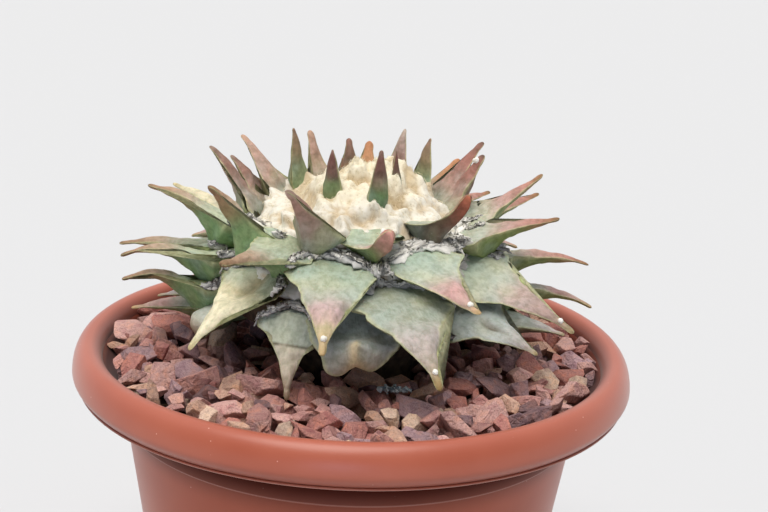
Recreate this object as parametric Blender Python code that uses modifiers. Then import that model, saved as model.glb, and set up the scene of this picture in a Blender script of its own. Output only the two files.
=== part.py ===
"""Living rock cactus in a round terracotta-coloured pot. Metres, +Z up, origin under the pot's centre."""
import math
import random
from collections import namedtuple

import bmesh
import bpy
from mathutils import Matrix, Vector

MM = 0.001
GAP = 0.3 * MM

# Pot
POT_HEIGHT = 130 * MM
LIP_RADIUS = 90 * MM
LIP_CREST_RADIUS = 85.2 * MM
LIP_INNER_RADIUS = 80.4 * MM
LIP_WIDEST_Z = 121 * MM
LIP_SLOPE_END_Z = 125 * MM
LIP_HEM_RADIUS = 87.7 * MM
LIP_HEM_Z = 116.5 * MM
CHANNEL_TOP_Z = 124.5 * MM
NECK_RADIUS = 73.6 * MM
NECK_TOP_Z = 112 * MM
NECK_FILLET = 1.5 * MM
STEP_Z = 105 * MM
STEP_DEPTH = 0.7 * MM
BASE_RADIUS = 56 * MM
WALL = 2 * MM
FLOOR = 3 * MM
BASE_BEVEL = 1.5 * MM
POT_STEPS = 40
DRAIN_HOLES = 8
DRAIN_RADIUS = 4 * MM
DRAIN_RING = 43 * MM

# Soil and gravel
SOIL_TOP_Z = 113.5 * MM
GRAVEL_BED_Z = 123 * MM
GRAVEL_INNER_RADIUS = 24 * MM
STONE_PITCH = 11 * MM
STONE_SIZE = (4.2 * MM, 6.1 * MM)
STONE_EDGE = 1.55
STONE_JAG = 0.32
STONE_FLATNESS = (0.55, 0.9)
STONE_RISE = (0, 2.6 * MM)
STONE_TILT = 0.6
STONE_SCATTER = 0.27
STONE_CLEARANCE = 1.2 * MM
STONE_SEED = 11

# Cactus: heights are above the pot's base
AXIL_DOME_RADIUS = 41 * MM
AXIL_DOME_MID_Z = 143 * MM
AXIL_DOME_HEIGHT = 40 * MM
STEM_HEIGHT = 32 * MM
STEM_SINK = 1.5 * MM
ROOT_NECK_RADIUS = 21 * MM
ROOT_NECK_Z = 125 * MM
ROOT_TIP_Z = 62 * MM
ROOT_END_Z = 60 * MM
ROOT_RINGS = 7
ROOT_TIP_RADIUS = 7 * MM
ROOT_SINK = 11 * MM
ROOT_CLEARANCE = 0.6 * MM
STEM_STEPS = 24

# A tubercle's section, as shares of its half width, and where along its length it is widest
KEEL_DEPTH = 0.78
FLANK_WIDTH = 0.56
CREST_RISE = 0.1
WIDEST_AT = 0.22
ROOT_WIDTH = 0.7
TIP_HALF_WIDTH = 0.45 * MM
HOOK_FROM = 0.8

# Wool
WOOL_CUSHION = 5.5 * MM
WOOL_CUSHION_LEVEL = 34
WOOL_EDGE_LEVEL = 54
WOOL_RINGS = 5
WOOL_LUMP = 1.3 * MM
WOOL_CLEARANCE = 0.4 * MM

# A tier's own tubercles differ from it only where the living plant's do. Level is the angle from the
# crown round the axil dome, rise the angle above level ground at root and tip, hook what the last
# fifth adds to it, sway the turn in plan along the length. Azimuth 0 is +X, -90 faces the front.
Tier = namedtuple("Tier", "level length width root_rise tip_rise taper hook sway stations")
SPIKE = Tier(15, 13, 6, 83, 87, -0.2, 0, 0, 4)
INNER = Tier(26, 19, 9, 71, 77, -0.3, -10, 0, 5)
UPRIGHT = Tier(42, 23, 15, 46, 50, -0.2, -16, 0, 6)
SHOULDER = Tier(51, 33, 23, 17, 12, 0.2, 8, 0, 6)
SPREAD = Tier(66, 38, 25, 4, -6, 0.35, -8, 0, 6)
LOW = Tier(80, 35, 25, -2, -12, 0.35, -6, 0, 6)
LOWEST = Tier(91, 28, 22, -10, -18, 0.3, 0, 0, 5)

SEEN = (
    (SPIKE, -22, {}),
    (SPIKE, -127, {"level": 19, "length": 15, "width": 8}),
    (SPIKE, 140, {"level": 10, "length": 7, "width": 4}),
    (INNER, -72, {"width": 7, "root_rise": 84, "tip_rise": 87}),
    (INNER, 45, {"level": 22}),
    (INNER, 153, {}),
    (INNER, 37, {"level": 35, "root_rise": 78}),
    (UPRIGHT, 86, {"level": 38, "length": 18, "width": 11}),
    (UPRIGHT, 97, {"level": 35, "length": 18, "width": 10}),
    (UPRIGHT, 122, {"level": 34, "length": 20, "width": 12, "root_rise": 58, "tip_rise": 60}),
    (UPRIGHT, -112, {"length": 27, "width": 17, "root_rise": 34, "sway": -22}),
    (UPRIGHT, -83, {"width": 20, "root_rise": 0, "taper": 0}),
    (UPRIGHT, -35, {"length": 19, "width": 16, "root_rise": 38, "tip_rise": 60}),
    (UPRIGHT, 18, {"length": 22}),
    (UPRIGHT, 30, {"length": 27}),
    (UPRIGHT, 41, {"length": 20, "width": 11, "root_rise": 40, "tip_rise": 38}),
    (UPRIGHT, 150, {"level": 41, "length": 26, "root_rise": 42}),
    (UPRIGHT, 158, {"level": 47, "length": 22, "root_rise": 42}),
    (UPRIGHT, 168, {"level": 48, "length": 28}),
    (UPRIGHT, -147, {"level": 50, "length": 28, "width": 22, "root_rise": 35}),
    (SHOULDER, -124, {"length": 38, "root_rise": 6, "tip_rise": 0}),
    (SHOULDER, -99, {"level": 55, "length": 38, "width": 27, "root_rise": -16, "tip_rise": -48,
                     "sway": 6}),
    (SHOULDER, -59, {"length": 37, "width": 27, "root_rise": -12, "tip_rise": -16, "sway": 7}),
    (SHOULDER, -11, {"width": 25}),
    (SHOULDER, 12, {"root_rise": 26, "tip_rise": 34}),
    (SHOULDER, 24, {"level": 55}),
    (SHOULDER, 159, {"level": 57}),
    (SHOULDER, 176, {"level": 57, "length": 36, "root_rise": 28}),
    (SPREAD, 170, {"length": 42, "root_rise": -4}),
    (SPREAD, -173, {"width": 27}),
    (SPREAD, -137, {"length": 35, "width": 27, "root_rise": -22, "tip_rise": -44}),
    (SPREAD, -71, {"length": 42, "width": 29, "root_rise": -14, "tip_rise": -42, "taper": 0.5,
                   "sway": 10}),
    (SPREAD, -24, {"level": 62, "length": 41, "width": 29, "root_rise": -18, "tip_rise": -24,
                   "sway": -4}),
    (SPREAD, 3, {"root_rise": 8, "tip_rise": -14}),
    (SPREAD, 18, {"level": 74, "length": 34}),
    (LOW, -115, {"length": 26, "width": 24, "root_rise": -56, "tip_rise": -76, "taper": 0.5,
                 "sway": 32}),
    (LOW, 8, {"length": 40, "tip_rise": -26}),
    (LOW, -176, {"root_rise": 0, "tip_rise": 0}),
    (LOW, -32, {"level": 85, "length": 27, "root_rise": -12, "tip_rise": -14}),
    (LOW, -89, {"level": 76, "length": 22, "width": 28, "root_rise": -44, "tip_rise": -52,
                "taper": -0.6}),
    (LOWEST, -161, {"level": 85, "length": 14, "width": 26, "root_rise": -18, "tip_rise": -40,
                    "taper": -0.2}),
    (LOWEST, 178, {"length": 32, "root_rise": -8, "tip_rise": -12}),
    (LOWEST, 163, {"length": 29}),
    (LOWEST, -3, {}),
)
# What the front view hides follows the tiers alone: first and last azimuth, and how many.
UNSEEN = (
    (SHOULDER, 46, 136, 4),
    (SPREAD, 38, 146, 5),
    (LOW, 30, 144, 5),
    (LOWEST, 44, 132, 3),
)
TURN_JITTER = 4
LENGTH_JITTER = 0.06
REAR_DROP = 14
REAR_SEED = 5

COLOURS = {
    "pot": ((0.60, 0.20, 0.12), 0.42),
    "soil": ((0.09, 0.06, 0.04), 0.95),
    "gravel": ((0.34, 0.16, 0.11), 0.9),
    "cactus": ((0.36, 0.42, 0.27), 0.7),
    "crown_wool": ((0.75, 0.69, 0.52), 0.95),
}


def make_collection(name):
    made = bpy.data.collections.new(name)
    bpy.context.scene.collection.children.link(made)
    return made


def make_material(name):
    colour, roughness = COLOURS[name]
    material = bpy.data.materials.new(name)
    material.use_nodes = True
    shader = material.node_tree.nodes["Principled BSDF"]
    shader.inputs["Base Color"].default_value = (*colour, 1)
    shader.inputs["Roughness"].default_value = roughness
    shader.inputs["Metallic"].default_value = 0
    return material


def add_object(name, mesh, collection):
    added = bpy.data.objects.new(name, mesh)
    collection.objects.link(added)
    return added


def turned(name, profile, collection, steps):
    """A closed profile of (radius, z) points, turned once round Z. A profile that starts and ends on
    the axis closes into a solid there."""
    mesh = bpy.data.meshes.new(name)
    points = [(radius, 0, z) for radius, z in profile]
    on_axis = profile[0][0] == 0
    edges = [(i, i + 1) for i in range(len(points) - 1)]
    if not on_axis:
        edges.append((len(points) - 1, 0))
    mesh.from_pydata(points, edges, [])
    body = add_object(name, mesh, collection)
    screw = body.modifiers.new("turn", "SCREW")
    screw.steps = steps
    screw.render_steps = steps
    screw.use_merge_vertices = True
    screw.merge_threshold = 0.00001
    return body


def apply_modifiers(body):
    """Replaces the object's mesh by what its modifiers make of it."""
    shaped = body.evaluated_get(bpy.context.evaluated_depsgraph_get())
    mesh = bpy.data.meshes.new_from_object(shaped)
    old = body.data
    body.modifiers.clear()
    body.data = mesh
    bpy.data.meshes.remove(old)


def boolean(body, operand, operation, solver="EXACT"):
    """One Boolean with an object or a whole collection, applied; the operand is then removed."""
    modifier = body.modifiers.new(operation.lower(), "BOOLEAN")
    modifier.operation = operation
    modifier.solver = solver
    if isinstance(operand, bpy.types.Object):
        modifier.object = operand
        apply_modifiers(body)
        bpy.data.objects.remove(operand)
        return
    modifier.operand_type = "COLLECTION"
    modifier.collection = operand
    apply_modifiers(body)
    for piece in list(operand.objects):
        bpy.data.objects.remove(piece)
    bpy.data.collections.remove(operand)


def keep_largest(body):
    """Drops loose scraps and fills sealed hollows: only the island with the most vertices stays."""
    shape = bmesh.new()
    shape.from_mesh(body.data)
    unseen = set(shape.verts)
    islands = []
    while unseen:
        front = [unseen.pop()]
        island = set(front)
        while front:
            for edge in front.pop().link_edges:
                for vertex in edge.verts:
                    if vertex in unseen:
                        unseen.remove(vertex)
                        island.add(vertex)
                        front.append(vertex)
        islands.append(island)
    biggest = max(islands, key=len)
    loose = [vertex for vertex in shape.verts if vertex not in biggest]
    bmesh.ops.delete(shape, geom=loose, context="VERTS")
    shape.to_mesh(body.data)
    shape.free()


def dress(body, material, smooth):
    body.data.materials.clear()
    body.data.materials.append(material)
    if smooth:
        body.data.shade_smooth()
        body.data.set_sharp_from_angle(angle=math.radians(40))


def arc_points(centre, radii, start, end, count):
    """Points of an ellipse's arc, angles in degrees, with both ends."""
    points = []
    for i in range(count + 1):
        angle = math.radians(start + (end - start) * i / count)
        points.append((centre[0] + radii[0] * math.cos(angle), centre[1] + radii[1] * math.sin(angle)))
    return points


# Pot

def wall_radius(z):
    """Outer radius of the tapering wall under the step."""
    top = NECK_RADIUS - STEP_DEPTH
    return BASE_RADIUS + (top - BASE_RADIUS) * z / STEP_Z


def inner_wall():
    """The wall's inner side from the floor up, as (radius, z): the taper, then the slope to the lip."""
    straight = NECK_RADIUS - STEP_DEPTH - WALL
    slope_start = STEP_Z + 4 * MM
    points = [(wall_radius(FLOOR) - WALL - FLOOR, FLOOR)]
    points += [(wall_radius(z) - WALL, z) for z in (2 * FLOOR, STEP_Z)]
    for i in range(5):
        share = i / 4
        out = (LIP_INNER_RADIUS - straight) * (1 - math.cos(share * math.pi / 2))
        points.append((straight + out, slope_start + (LIP_SLOPE_END_Z - slope_start) * share))
    return points


def inside_up_to(top):
    """The inner wall's points below a height, drawn in by the gap, with one at that height."""
    below = [(radius - GAP, z) for radius, z in inner_wall() if z < top]
    (last_radius, last_z) = below[-1]
    (next_radius, next_z) = [point for point in inner_wall() if point[1] >= top][0]
    share = (top - last_z) / (next_z - last_z)
    return below + [(last_radius + (next_radius - GAP - last_radius) * share, top)]


def make_pot(parts):
    lip_half = POT_HEIGHT - LIP_WIDEST_Z
    crest_half = LIP_RADIUS - LIP_CREST_RADIUS
    inner_arc = LIP_CREST_RADIUS - LIP_INNER_RADIUS
    inner_drop = POT_HEIGHT - LIP_SLOPE_END_Z
    crest_in = arc_points((LIP_CREST_RADIUS, POT_HEIGHT - inner_drop), (inner_arc, inner_drop), 180, 90, 3)
    crest_out = arc_points((LIP_CREST_RADIUS, LIP_WIDEST_Z), (crest_half, lip_half), 90, 0, 4)
    hem_and_channel = [
        (LIP_HEM_RADIUS, LIP_HEM_Z),
        (LIP_HEM_RADIUS - WALL, LIP_HEM_Z),
        (LIP_CREST_RADIUS + WALL / 2, CHANNEL_TOP_Z),
        (LIP_CREST_RADIUS - WALL / 2, CHANNEL_TOP_Z),
        (NECK_RADIUS + NECK_FILLET, NECK_TOP_Z + NECK_FILLET),
    ]
    neck_and_wall = [
        (NECK_RADIUS, NECK_TOP_Z),
        (NECK_RADIUS, STEP_Z + STEP_DEPTH),
        (NECK_RADIUS - STEP_DEPTH, STEP_Z),
        (wall_radius(STEP_Z / 2), STEP_Z / 2),
        (wall_radius(BASE_BEVEL), BASE_BEVEL),
        (BASE_RADIUS - BASE_BEVEL, 0),
    ]
    inside = [(0, FLOOR)] + inner_wall()[:-1]
    profile = inside + crest_in + crest_out[1:] + hem_and_channel + neck_and_wall + [(0, 0)]
    pot = turned("pot", profile, parts, POT_STEPS)
    drains = make_collection("drain_cutters")
    for i in range(DRAIN_HOLES):
        angle = math.tau * i / DRAIN_HOLES
        at = (DRAIN_RING * math.cos(angle), DRAIN_RING * math.sin(angle), FLOOR / 2)
        shape = bmesh.new()
        place = Matrix.Translation(at)
        bmesh.ops.create_cone(shape, cap_ends=True, segments=12, radius1=DRAIN_RADIUS,
                              radius2=DRAIN_RADIUS, depth=4 * FLOOR, matrix=place)
        mesh = bpy.data.meshes.new("drain")
        shape.to_mesh(mesh)
        shape.free()
        add_object("drain", mesh, drains)
    apply_modifiers(pot)
    boolean(pot, drains, "DIFFERENCE")
    return pot


# Root, stem and soil

def root_points():
    """The thick root under the gravel, a cone with a swollen shoulder, as (radius, z) upwards."""
    points = []
    for i in range(ROOT_RINGS):
        share = i / (ROOT_RINGS - 1)
        swell = math.sin(share * math.pi / 2) ** 0.8
        points.append((ROOT_TIP_RADIUS + (ROOT_NECK_RADIUS - ROOT_TIP_RADIUS) * swell,
                       ROOT_TIP_Z + (ROOT_NECK_Z - ROOT_TIP_Z) * share))
    return points


def underside():
    """The stem's flare from the root's neck out to the dome, as (radius, z)."""
    dome = AXIL_DOME_RADIUS - STEM_SINK
    points = []
    for i in range(1, 4):
        angle = math.radians(90 * i / 4)
        points.append((ROOT_NECK_RADIUS + (dome - ROOT_NECK_RADIUS) * (1 - math.cos(angle)),
                       ROOT_NECK_Z + (AXIL_DOME_MID_Z - ROOT_NECK_Z) * math.sin(angle)))
    return points


def stem_profile():
    """Root tip up to the neck, then over the low dome to the crown, as (radius, z)."""
    dome = AXIL_DOME_RADIUS - STEM_SINK
    upper = []
    for i in range(7):
        angle = math.radians(90 * (1 - i / 7))
        upper.append((dome * math.sin(angle), AXIL_DOME_MID_Z + STEM_HEIGHT * math.cos(angle)))
    crown = [(0, AXIL_DOME_MID_Z + STEM_HEIGHT)]
    return [(0, ROOT_END_Z)] + root_points() + underside() + upper + crown


def make_soil(parts, cutters):
    wall = inside_up_to(SOIL_TOP_Z)
    floor_corner = (wall[0][0], FLOOR + GAP)
    outer = [(0, SOIL_TOP_Z)] + list(reversed(wall[1:])) + [floor_corner, (0, FLOOR + GAP)]
    soil = turned("soil", outer, parts, POT_STEPS)
    apply_modifiers(soil)
    hole = [(0, ROOT_NECK_Z)]
    for radius, z in reversed(root_points()):
        hole.append((radius + ROOT_CLEARANCE, z))
    hole.append((0, ROOT_END_Z - ROOT_CLEARANCE))
    cutter = turned("root_hole", hole, cutters, STEM_STEPS)
    apply_modifiers(cutter)
    boolean(soil, cutter, "DIFFERENCE")
    return soil


# Tubercles

def rise_at(tubercle, share):
    rise = tubercle.root_rise + (tubercle.tip_rise - tubercle.root_rise) * share ** 1.2
    return rise + tubercle.hook * max(0, (share - HOOK_FROM) / (1 - HOOK_FROM))


def half_width(tubercle, share):
    """Widest a fifth of the way out, then drawn in to the tip; taper above 0 hollows the sides and
    below 0 rounds them."""
    if share < WIDEST_AT:
        part = ROOT_WIDTH + (1 - ROOT_WIDTH) * math.sin(math.pi / 2 * share / WIDEST_AT)
    else:
        part = ((1 - share) / (1 - WIDEST_AT)) ** (1 + tubercle.taper)
    return max(TIP_HALF_WIDTH, tubercle.width * MM / 2 * part)


def tubercle_frames(azimuth, tubercle, stations):
    """Point, forward, side and up vectors, half width at each station, root first."""
    level = math.radians(tubercle.level)
    turn = math.radians(azimuth)
    radius = AXIL_DOME_RADIUS * math.sin(level)
    place = Vector((radius * math.cos(turn), radius * math.sin(turn),
                    AXIL_DOME_MID_Z + AXIL_DOME_HEIGHT * math.cos(level)))
    length = tubercle.length * MM
    frames = []
    last = 0
    beyond = stations - 2
    for share in [0] + [WIDEST_AT + (1 - WIDEST_AT) * i / beyond for i in range(beyond + 1)]:
        middle = (share + last) / 2
        point_rise = math.radians(rise_at(tubercle, middle))
        heading = turn + math.radians(tubercle.sway) * middle
        step = Vector((math.cos(point_rise) * math.cos(heading),
                       math.cos(point_rise) * math.sin(heading), math.sin(point_rise)))
        place = place + step * length * (share - last)
        rise = math.radians(rise_at(tubercle, share))
        heading = turn + math.radians(tubercle.sway) * share
        forward = Vector((math.cos(rise) * math.cos(heading), math.cos(rise) * math.sin(heading),
                          math.sin(rise)))
        side = Vector((-math.sin(heading), math.cos(heading), 0))
        frames.append((place.copy(), forward, side, forward.cross(side), half_width(tubercle, share)))
        last = share
    place, forward, side, up, width = frames[0]
    inward = Vector((-math.sin(level) * math.cos(turn), -math.sin(level) * math.sin(turn),
                     -math.cos(level)))
    sunk = place + (inward * 0.6 - forward * 0.4).normalized() * ROOT_SINK
    frames.insert(0, (sunk, forward, side, up, width * 0.75))
    return frames


def tubercle_section(frame, margin=0.0):
    """Six points round a three-sided section: a flat top with sharp edges over a keel."""
    place, forward, side, up, width = frame
    width += margin
    crest = up * (CREST_RISE * width + margin)
    keel = up * (KEEL_DEPTH * width + margin)
    flank = side * FLANK_WIDTH * width
    return [
        place + side * width,
        place + crest,
        place - side * width,
        place - flank - 0.6 * keel,
        place - keel,
        place + flank - 0.6 * keel,
    ]


def loft(name, rings, collection):
    """Closed solid through rings of equal count, capped at both ends."""
    shape = bmesh.new()
    rows = [[shape.verts.new(point) for point in ring] for ring in rings]
    for lower, upper in zip(rows, rows[1:]):
        count = len(lower)
        for i in range(count):
            j = (i + 1) % count
            shape.faces.new((lower[i], lower[j], upper[j], upper[i]))
    shape.faces.new(list(reversed(rows[0])))
    shape.faces.new(rows[-1])
    bmesh.ops.recalc_face_normals(shape, faces=shape.faces)
    bmesh.ops.triangulate(shape, faces=shape.faces)
    mesh = bpy.data.meshes.new(name)
    shape.to_mesh(mesh)
    shape.free()
    return add_object(name, mesh, collection)


def plan_tubercles():
    """Every tubercle as (azimuth, Tier): the seen ones as they stand, the hidden ones by rule."""
    planned = [(azimuth, tier._replace(**own)) for tier, azimuth, own in SEEN]
    draw = random.Random(REAR_SEED)
    for tier, first, last, count in UNSEEN:
        for i in range(count):
            azimuth = first + (last - first) * i / (count - 1) + draw.uniform(-TURN_JITTER, TURN_JITTER)
            length = tier.length * draw.uniform(1 - LENGTH_JITTER, 1 + LENGTH_JITTER)
            hidden = tier._replace(length=length, root_rise=tier.root_rise - REAR_DROP,
                                   tip_rise=tier.tip_rise - REAR_DROP)
            planned.append((azimuth, hidden))
    return planned


def make_cactus(parts, planned):
    cactus = turned("cactus", list(reversed(stem_profile())), parts, STEM_STEPS)
    apply_modifiers(cactus)
    grown = make_collection("tubercles")
    for azimuth, tubercle in planned:
        frames = tubercle_frames(azimuth, tubercle, tubercle.stations)
        loft("tubercle", [tubercle_section(frame) for frame in frames], grown)
    boolean(cactus, grown, "UNION")
    keep_largest(cactus)
    return cactus


# Gravel

def gravel_profile(top, grow=0.0):
    """A ring outside the root and inside the pot's wall, from just over the soil up."""
    bottom = SOIL_TOP_Z + GAP
    wall = [inside_up_to(bottom)[-1]]
    wall += [point for point in inside_up_to(min(top, LIP_SLOPE_END_Z)) if point[1] > bottom]
    if top > LIP_SLOPE_END_Z:
        wall.append((wall[-1][0], top))
    outer = [(radius + grow, z) for radius, z in reversed(wall)]
    inner = GRAVEL_INNER_RADIUS - grow
    return [(inner, top)] + outer + [(outer[-1][0], bottom - grow), (inner, bottom - grow)]


def headroom(place, reach, clear_points):
    """Highest z a stone may have under the tubercles that hang over it."""
    above = [point.z for point, width in clear_points
             if math.hypot(point.x - place.x, point.y - place.y) < reach + width]
    return min(above, default=1) - STONE_CLEARANCE


def add_stone(place, size, draw, stones):
    """One crushed stone: the hull of a cube whose corners are pushed about."""
    spin = Matrix.Rotation(draw.uniform(0, math.tau), 4, "Z")
    tip = Matrix.Rotation(draw.uniform(-STONE_TILT, STONE_TILT), 4, "X")
    lean = Matrix.Rotation(draw.uniform(-STONE_TILT, STONE_TILT), 4, "Y")
    shape = bmesh.new()
    bmesh.ops.create_cube(shape, size=STONE_EDGE)
    bmesh.ops.delete(shape, geom=shape.edges[:], context="EDGES_FACES")
    for vertex in shape.verts:
        vertex.co += Vector([draw.uniform(-STONE_JAG, STONE_JAG) for axis in range(3)])
        vertex.co.z *= draw.uniform(*STONE_FLATNESS)
    hull = bmesh.ops.convex_hull(shape, input=shape.verts[:])
    bmesh.ops.delete(shape, geom=hull["geom_interior"], context="VERTS")
    place_matrix = Matrix.Translation(place) @ spin @ tip @ lean @ Matrix.Scale(size, 4)
    bmesh.ops.transform(shape, matrix=place_matrix, verts=shape.verts)
    mesh = bpy.data.meshes.new("stone")
    shape.to_mesh(mesh)
    shape.free()
    add_object("stone", mesh, stones)


def make_gravel(parts, cutters, planned):
    gravel = turned("gravel", gravel_profile(GRAVEL_BED_Z, WALL / 2), parts, POT_STEPS)
    apply_modifiers(gravel)
    clear_points = []
    for azimuth, tubercle in planned:
        for place, forward, side, up, width in tubercle_frames(azimuth, tubercle, 12)[1:]:
            clear_points.append((place - up * KEEL_DEPTH * width, 0.7 * width))
            clear_points.append((place + side * 0.8 * width, 0.3 * width))
            clear_points.append((place - side * 0.8 * width, 0.3 * width))
    for radius, z in underside():
        for i in range(STEM_STEPS):
            angle = math.tau * i / STEM_STEPS
            clear_points.append((Vector((radius * math.cos(angle), radius * math.sin(angle), z)), 0))
    draw = random.Random(STONE_SEED)
    stones = make_collection("stones")
    outer = inside_up_to(GRAVEL_BED_Z)[-1][0]
    ring_count = int((outer - GRAVEL_INNER_RADIUS) / STONE_PITCH)
    for ring in range(ring_count):
        radius = outer - STONE_PITCH * (ring + 0.5)
        around = int(math.tau * radius / STONE_PITCH)
        for i in range(around):
            angle = math.tau * (i + draw.uniform(-STONE_SCATTER, STONE_SCATTER)) / around
            off = radius + draw.uniform(-STONE_SCATTER, STONE_SCATTER) * STONE_PITCH
            size = draw.uniform(*STONE_SIZE)
            off = min(off, outer - 0.7 * size)
            place = Vector((off * math.cos(angle), off * math.sin(angle), GRAVEL_BED_Z))
            place.z += draw.uniform(*STONE_RISE)
            top = headroom(place, size, clear_points)
            place.z = min(place.z, top - size)
            if place.z > GRAVEL_BED_Z - 0.5 * size:
                add_stone(place, size, draw, stones)
    boolean(gravel, stones, "UNION", "MANIFOLD")
    room = turned("gravel_room", gravel_profile(POT_HEIGHT + STONE_SIZE[1]), cutters, POT_STEPS)
    apply_modifiers(room)
    boolean(gravel, room, "INTERSECT", "MANIFOLD")
    keep_largest(gravel)
    return gravel


# Wool

def wool_surface(level, azimuth):
    """Outer surface of the wool: a lumpy cushion on the crown, thin between the tubercles."""
    angle = math.radians(level)
    crown = math.cos(math.pi / 2 * min(1, level / WOOL_CUSHION_LEVEL)) ** 2
    lump = math.sin(3 * azimuth + 0.8) * math.sin(level * 0.26) + 0.5 * math.sin(7 * azimuth - level * 0.3)
    radius = (AXIL_DOME_RADIUS + WOOL_LUMP * lump) * math.sin(angle)
    height = (AXIL_DOME_HEIGHT + WOOL_LUMP * lump) * math.cos(angle) + WOOL_CUSHION * crown
    return Vector((radius * math.cos(azimuth), radius * math.sin(azimuth), AXIL_DOME_MID_Z + height))


def make_wool(parts, planned):
    shape = bmesh.new()
    top = shape.verts.new(wool_surface(0, 0))
    under = shape.verts.new((0, 0, AXIL_DOME_MID_Z + STEM_HEIGHT + GAP))
    stem = AXIL_DOME_RADIUS - STEM_SINK + GAP
    outer_rows = []
    inner_rows = []
    for ring in range(1, WOOL_RINGS + 1):
        level = WOOL_EDGE_LEVEL * ring / WOOL_RINGS
        angle = math.radians(level)
        outer = []
        inner = []
        for i in range(STEM_STEPS):
            azimuth = math.tau * i / STEM_STEPS
            outer.append(shape.verts.new(wool_surface(level, azimuth)))
            flat = stem * math.sin(angle)
            inner.append(shape.verts.new((flat * math.cos(azimuth), flat * math.sin(azimuth),
                                          AXIL_DOME_MID_Z + (STEM_HEIGHT + GAP) * math.cos(angle))))
        outer_rows.append(outer)
        inner_rows.append(inner)
    for i in range(STEM_STEPS):
        j = (i + 1) % STEM_STEPS
        shape.faces.new((top, outer_rows[0][i], outer_rows[0][j]))
        shape.faces.new((under, inner_rows[0][j], inner_rows[0][i]))
        for a, b in zip(outer_rows, outer_rows[1:]):
            shape.faces.new((a[i], b[i], b[j], a[j]))
        for a, b in zip(inner_rows, inner_rows[1:]):
            shape.faces.new((a[j], b[j], b[i], a[i]))
        shape.faces.new((outer_rows[-1][i], inner_rows[-1][i], inner_rows[-1][j], outer_rows[-1][j]))
    bmesh.ops.recalc_face_normals(shape, faces=shape.faces)
    bmesh.ops.triangulate(shape, faces=shape.faces)
    mesh = bpy.data.meshes.new("crown_wool")
    shape.to_mesh(mesh)
    shape.free()
    wool = add_object("crown_wool", mesh, parts)
    clearances = make_collection("tubercle_clearances")
    for azimuth, tubercle in planned:
        frames = tubercle_frames(azimuth, tubercle, tubercle.stations)
        loft("clearance", [tubercle_section(frame, WOOL_CLEARANCE) for frame in frames], clearances)
    boolean(wool, clearances, "DIFFERENCE")
    keep_largest(wool)
    return wool


def main():
    for old in list(bpy.data.objects):
        bpy.data.objects.remove(old)
    parts = make_collection("living_rock_cactus")
    cutters = make_collection("cutters")
    planned = plan_tubercles()
    pot = make_pot(parts)
    dress(pot, make_material("pot"), True)
    soil = make_soil(parts, cutters)
    dress(soil, make_material("soil"), True)
    gravel = make_gravel(parts, cutters, planned)
    dress(gravel, make_material("gravel"), False)
    cactus = make_cactus(parts, planned)
    dress(cactus, make_material("cactus"), True)
    wool = make_wool(parts, planned)
    dress(wool, make_material("crown_wool"), True)
    bpy.data.collections.remove(cutters)


main()
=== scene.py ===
from math import acos, atan2, cos, degrees, exp, pi, radians, sin, sqrt, tau
import random
import bmesh
import bpy
from mathutils import Matrix, Vector, noise
from mathutils.bvhtree import BVHTree


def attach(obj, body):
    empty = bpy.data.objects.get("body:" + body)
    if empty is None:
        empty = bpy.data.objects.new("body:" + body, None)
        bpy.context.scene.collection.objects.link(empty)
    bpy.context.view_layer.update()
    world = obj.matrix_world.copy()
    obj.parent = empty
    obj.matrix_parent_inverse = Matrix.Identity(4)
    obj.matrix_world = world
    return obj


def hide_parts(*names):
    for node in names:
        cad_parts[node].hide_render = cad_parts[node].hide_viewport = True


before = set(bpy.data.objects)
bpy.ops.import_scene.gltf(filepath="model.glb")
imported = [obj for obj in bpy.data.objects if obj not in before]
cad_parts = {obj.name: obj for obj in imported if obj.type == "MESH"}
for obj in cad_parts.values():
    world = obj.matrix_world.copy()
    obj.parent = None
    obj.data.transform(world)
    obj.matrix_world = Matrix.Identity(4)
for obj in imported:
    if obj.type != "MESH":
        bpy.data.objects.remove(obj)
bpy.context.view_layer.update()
noise.seed_set(1)  # unseeded, the vector noise would take its offsets from the clock
mm = 0.001


# Small helpers

def toLinear(hexColour):
    channels = [int(hexColour[i:i + 2], 16) / 255 for i in (1, 3, 5)]
    return [c / 12.92 if c <= 0.04045 else ((c + 0.055) / 1.055) ** 2.4 for c in channels] + [1.0]


def newMaterial(name, shaderValues):
    material = bpy.data.materials.new(name)
    material.use_nodes = True
    for socket, value in shaderValues.items():
        material.node_tree.nodes["Principled BSDF"].inputs[socket].default_value = value
    return material


def feed(material, name, source):  # drives one input of the material's shader
    material.node_tree.links.new(source, material.node_tree.nodes["Principled BSDF"].inputs[name])


def dress(material, colour, normal):
    feed(material, "Base Color", colour)
    feed(material, "Normal", normal)
    return material


def addNode(material, kind, output=0, inputs=None, **settings):  # inputs: other nodes' outputs or constants
    node = material.node_tree.nodes.new(kind)
    for name, value in settings.items():
        setattr(node, name, value)
    for name, value in (inputs or {}).items():
        if isinstance(value, bpy.types.NodeSocket):
            material.node_tree.links.new(value, node.inputs[name])
        else:
            node.inputs[name].default_value = value
    return node.outputs[output]


def objectPlace(material):
    return addNode(material, "ShaderNodeTexCoord", "Object")


def carried(material, name, output="Color"):  # what the vertices carry under a name
    return addNode(material, "ShaderNodeAttribute", output, attribute_name=name)


def noiseNode(material, place, size, detail, roughness=0.5, distortion=0):
    return addNode(material, "ShaderNodeTexNoise", 0, {
        "Vector": place, "Scale": 1 / size, "Detail": detail, "Roughness": roughness,
        "Distortion": distortion})


def cellNode(material, place, size):
    return addNode(material, "ShaderNodeTexVoronoi", "Distance", {"Vector": place, "Scale": 1 / size})


def rampNode(material, source, stops):
    output = addNode(material, "ShaderNodeValToRGB", 0, {"Fac": source})
    ramp = output.node.color_ramp
    while len(ramp.elements) < len(stops):
        ramp.elements.new(1.0)
    for element, (place, colour) in zip(ramp.elements, stops):
        element.position = place
        element.color = toLinear(colour)
    return output


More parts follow.
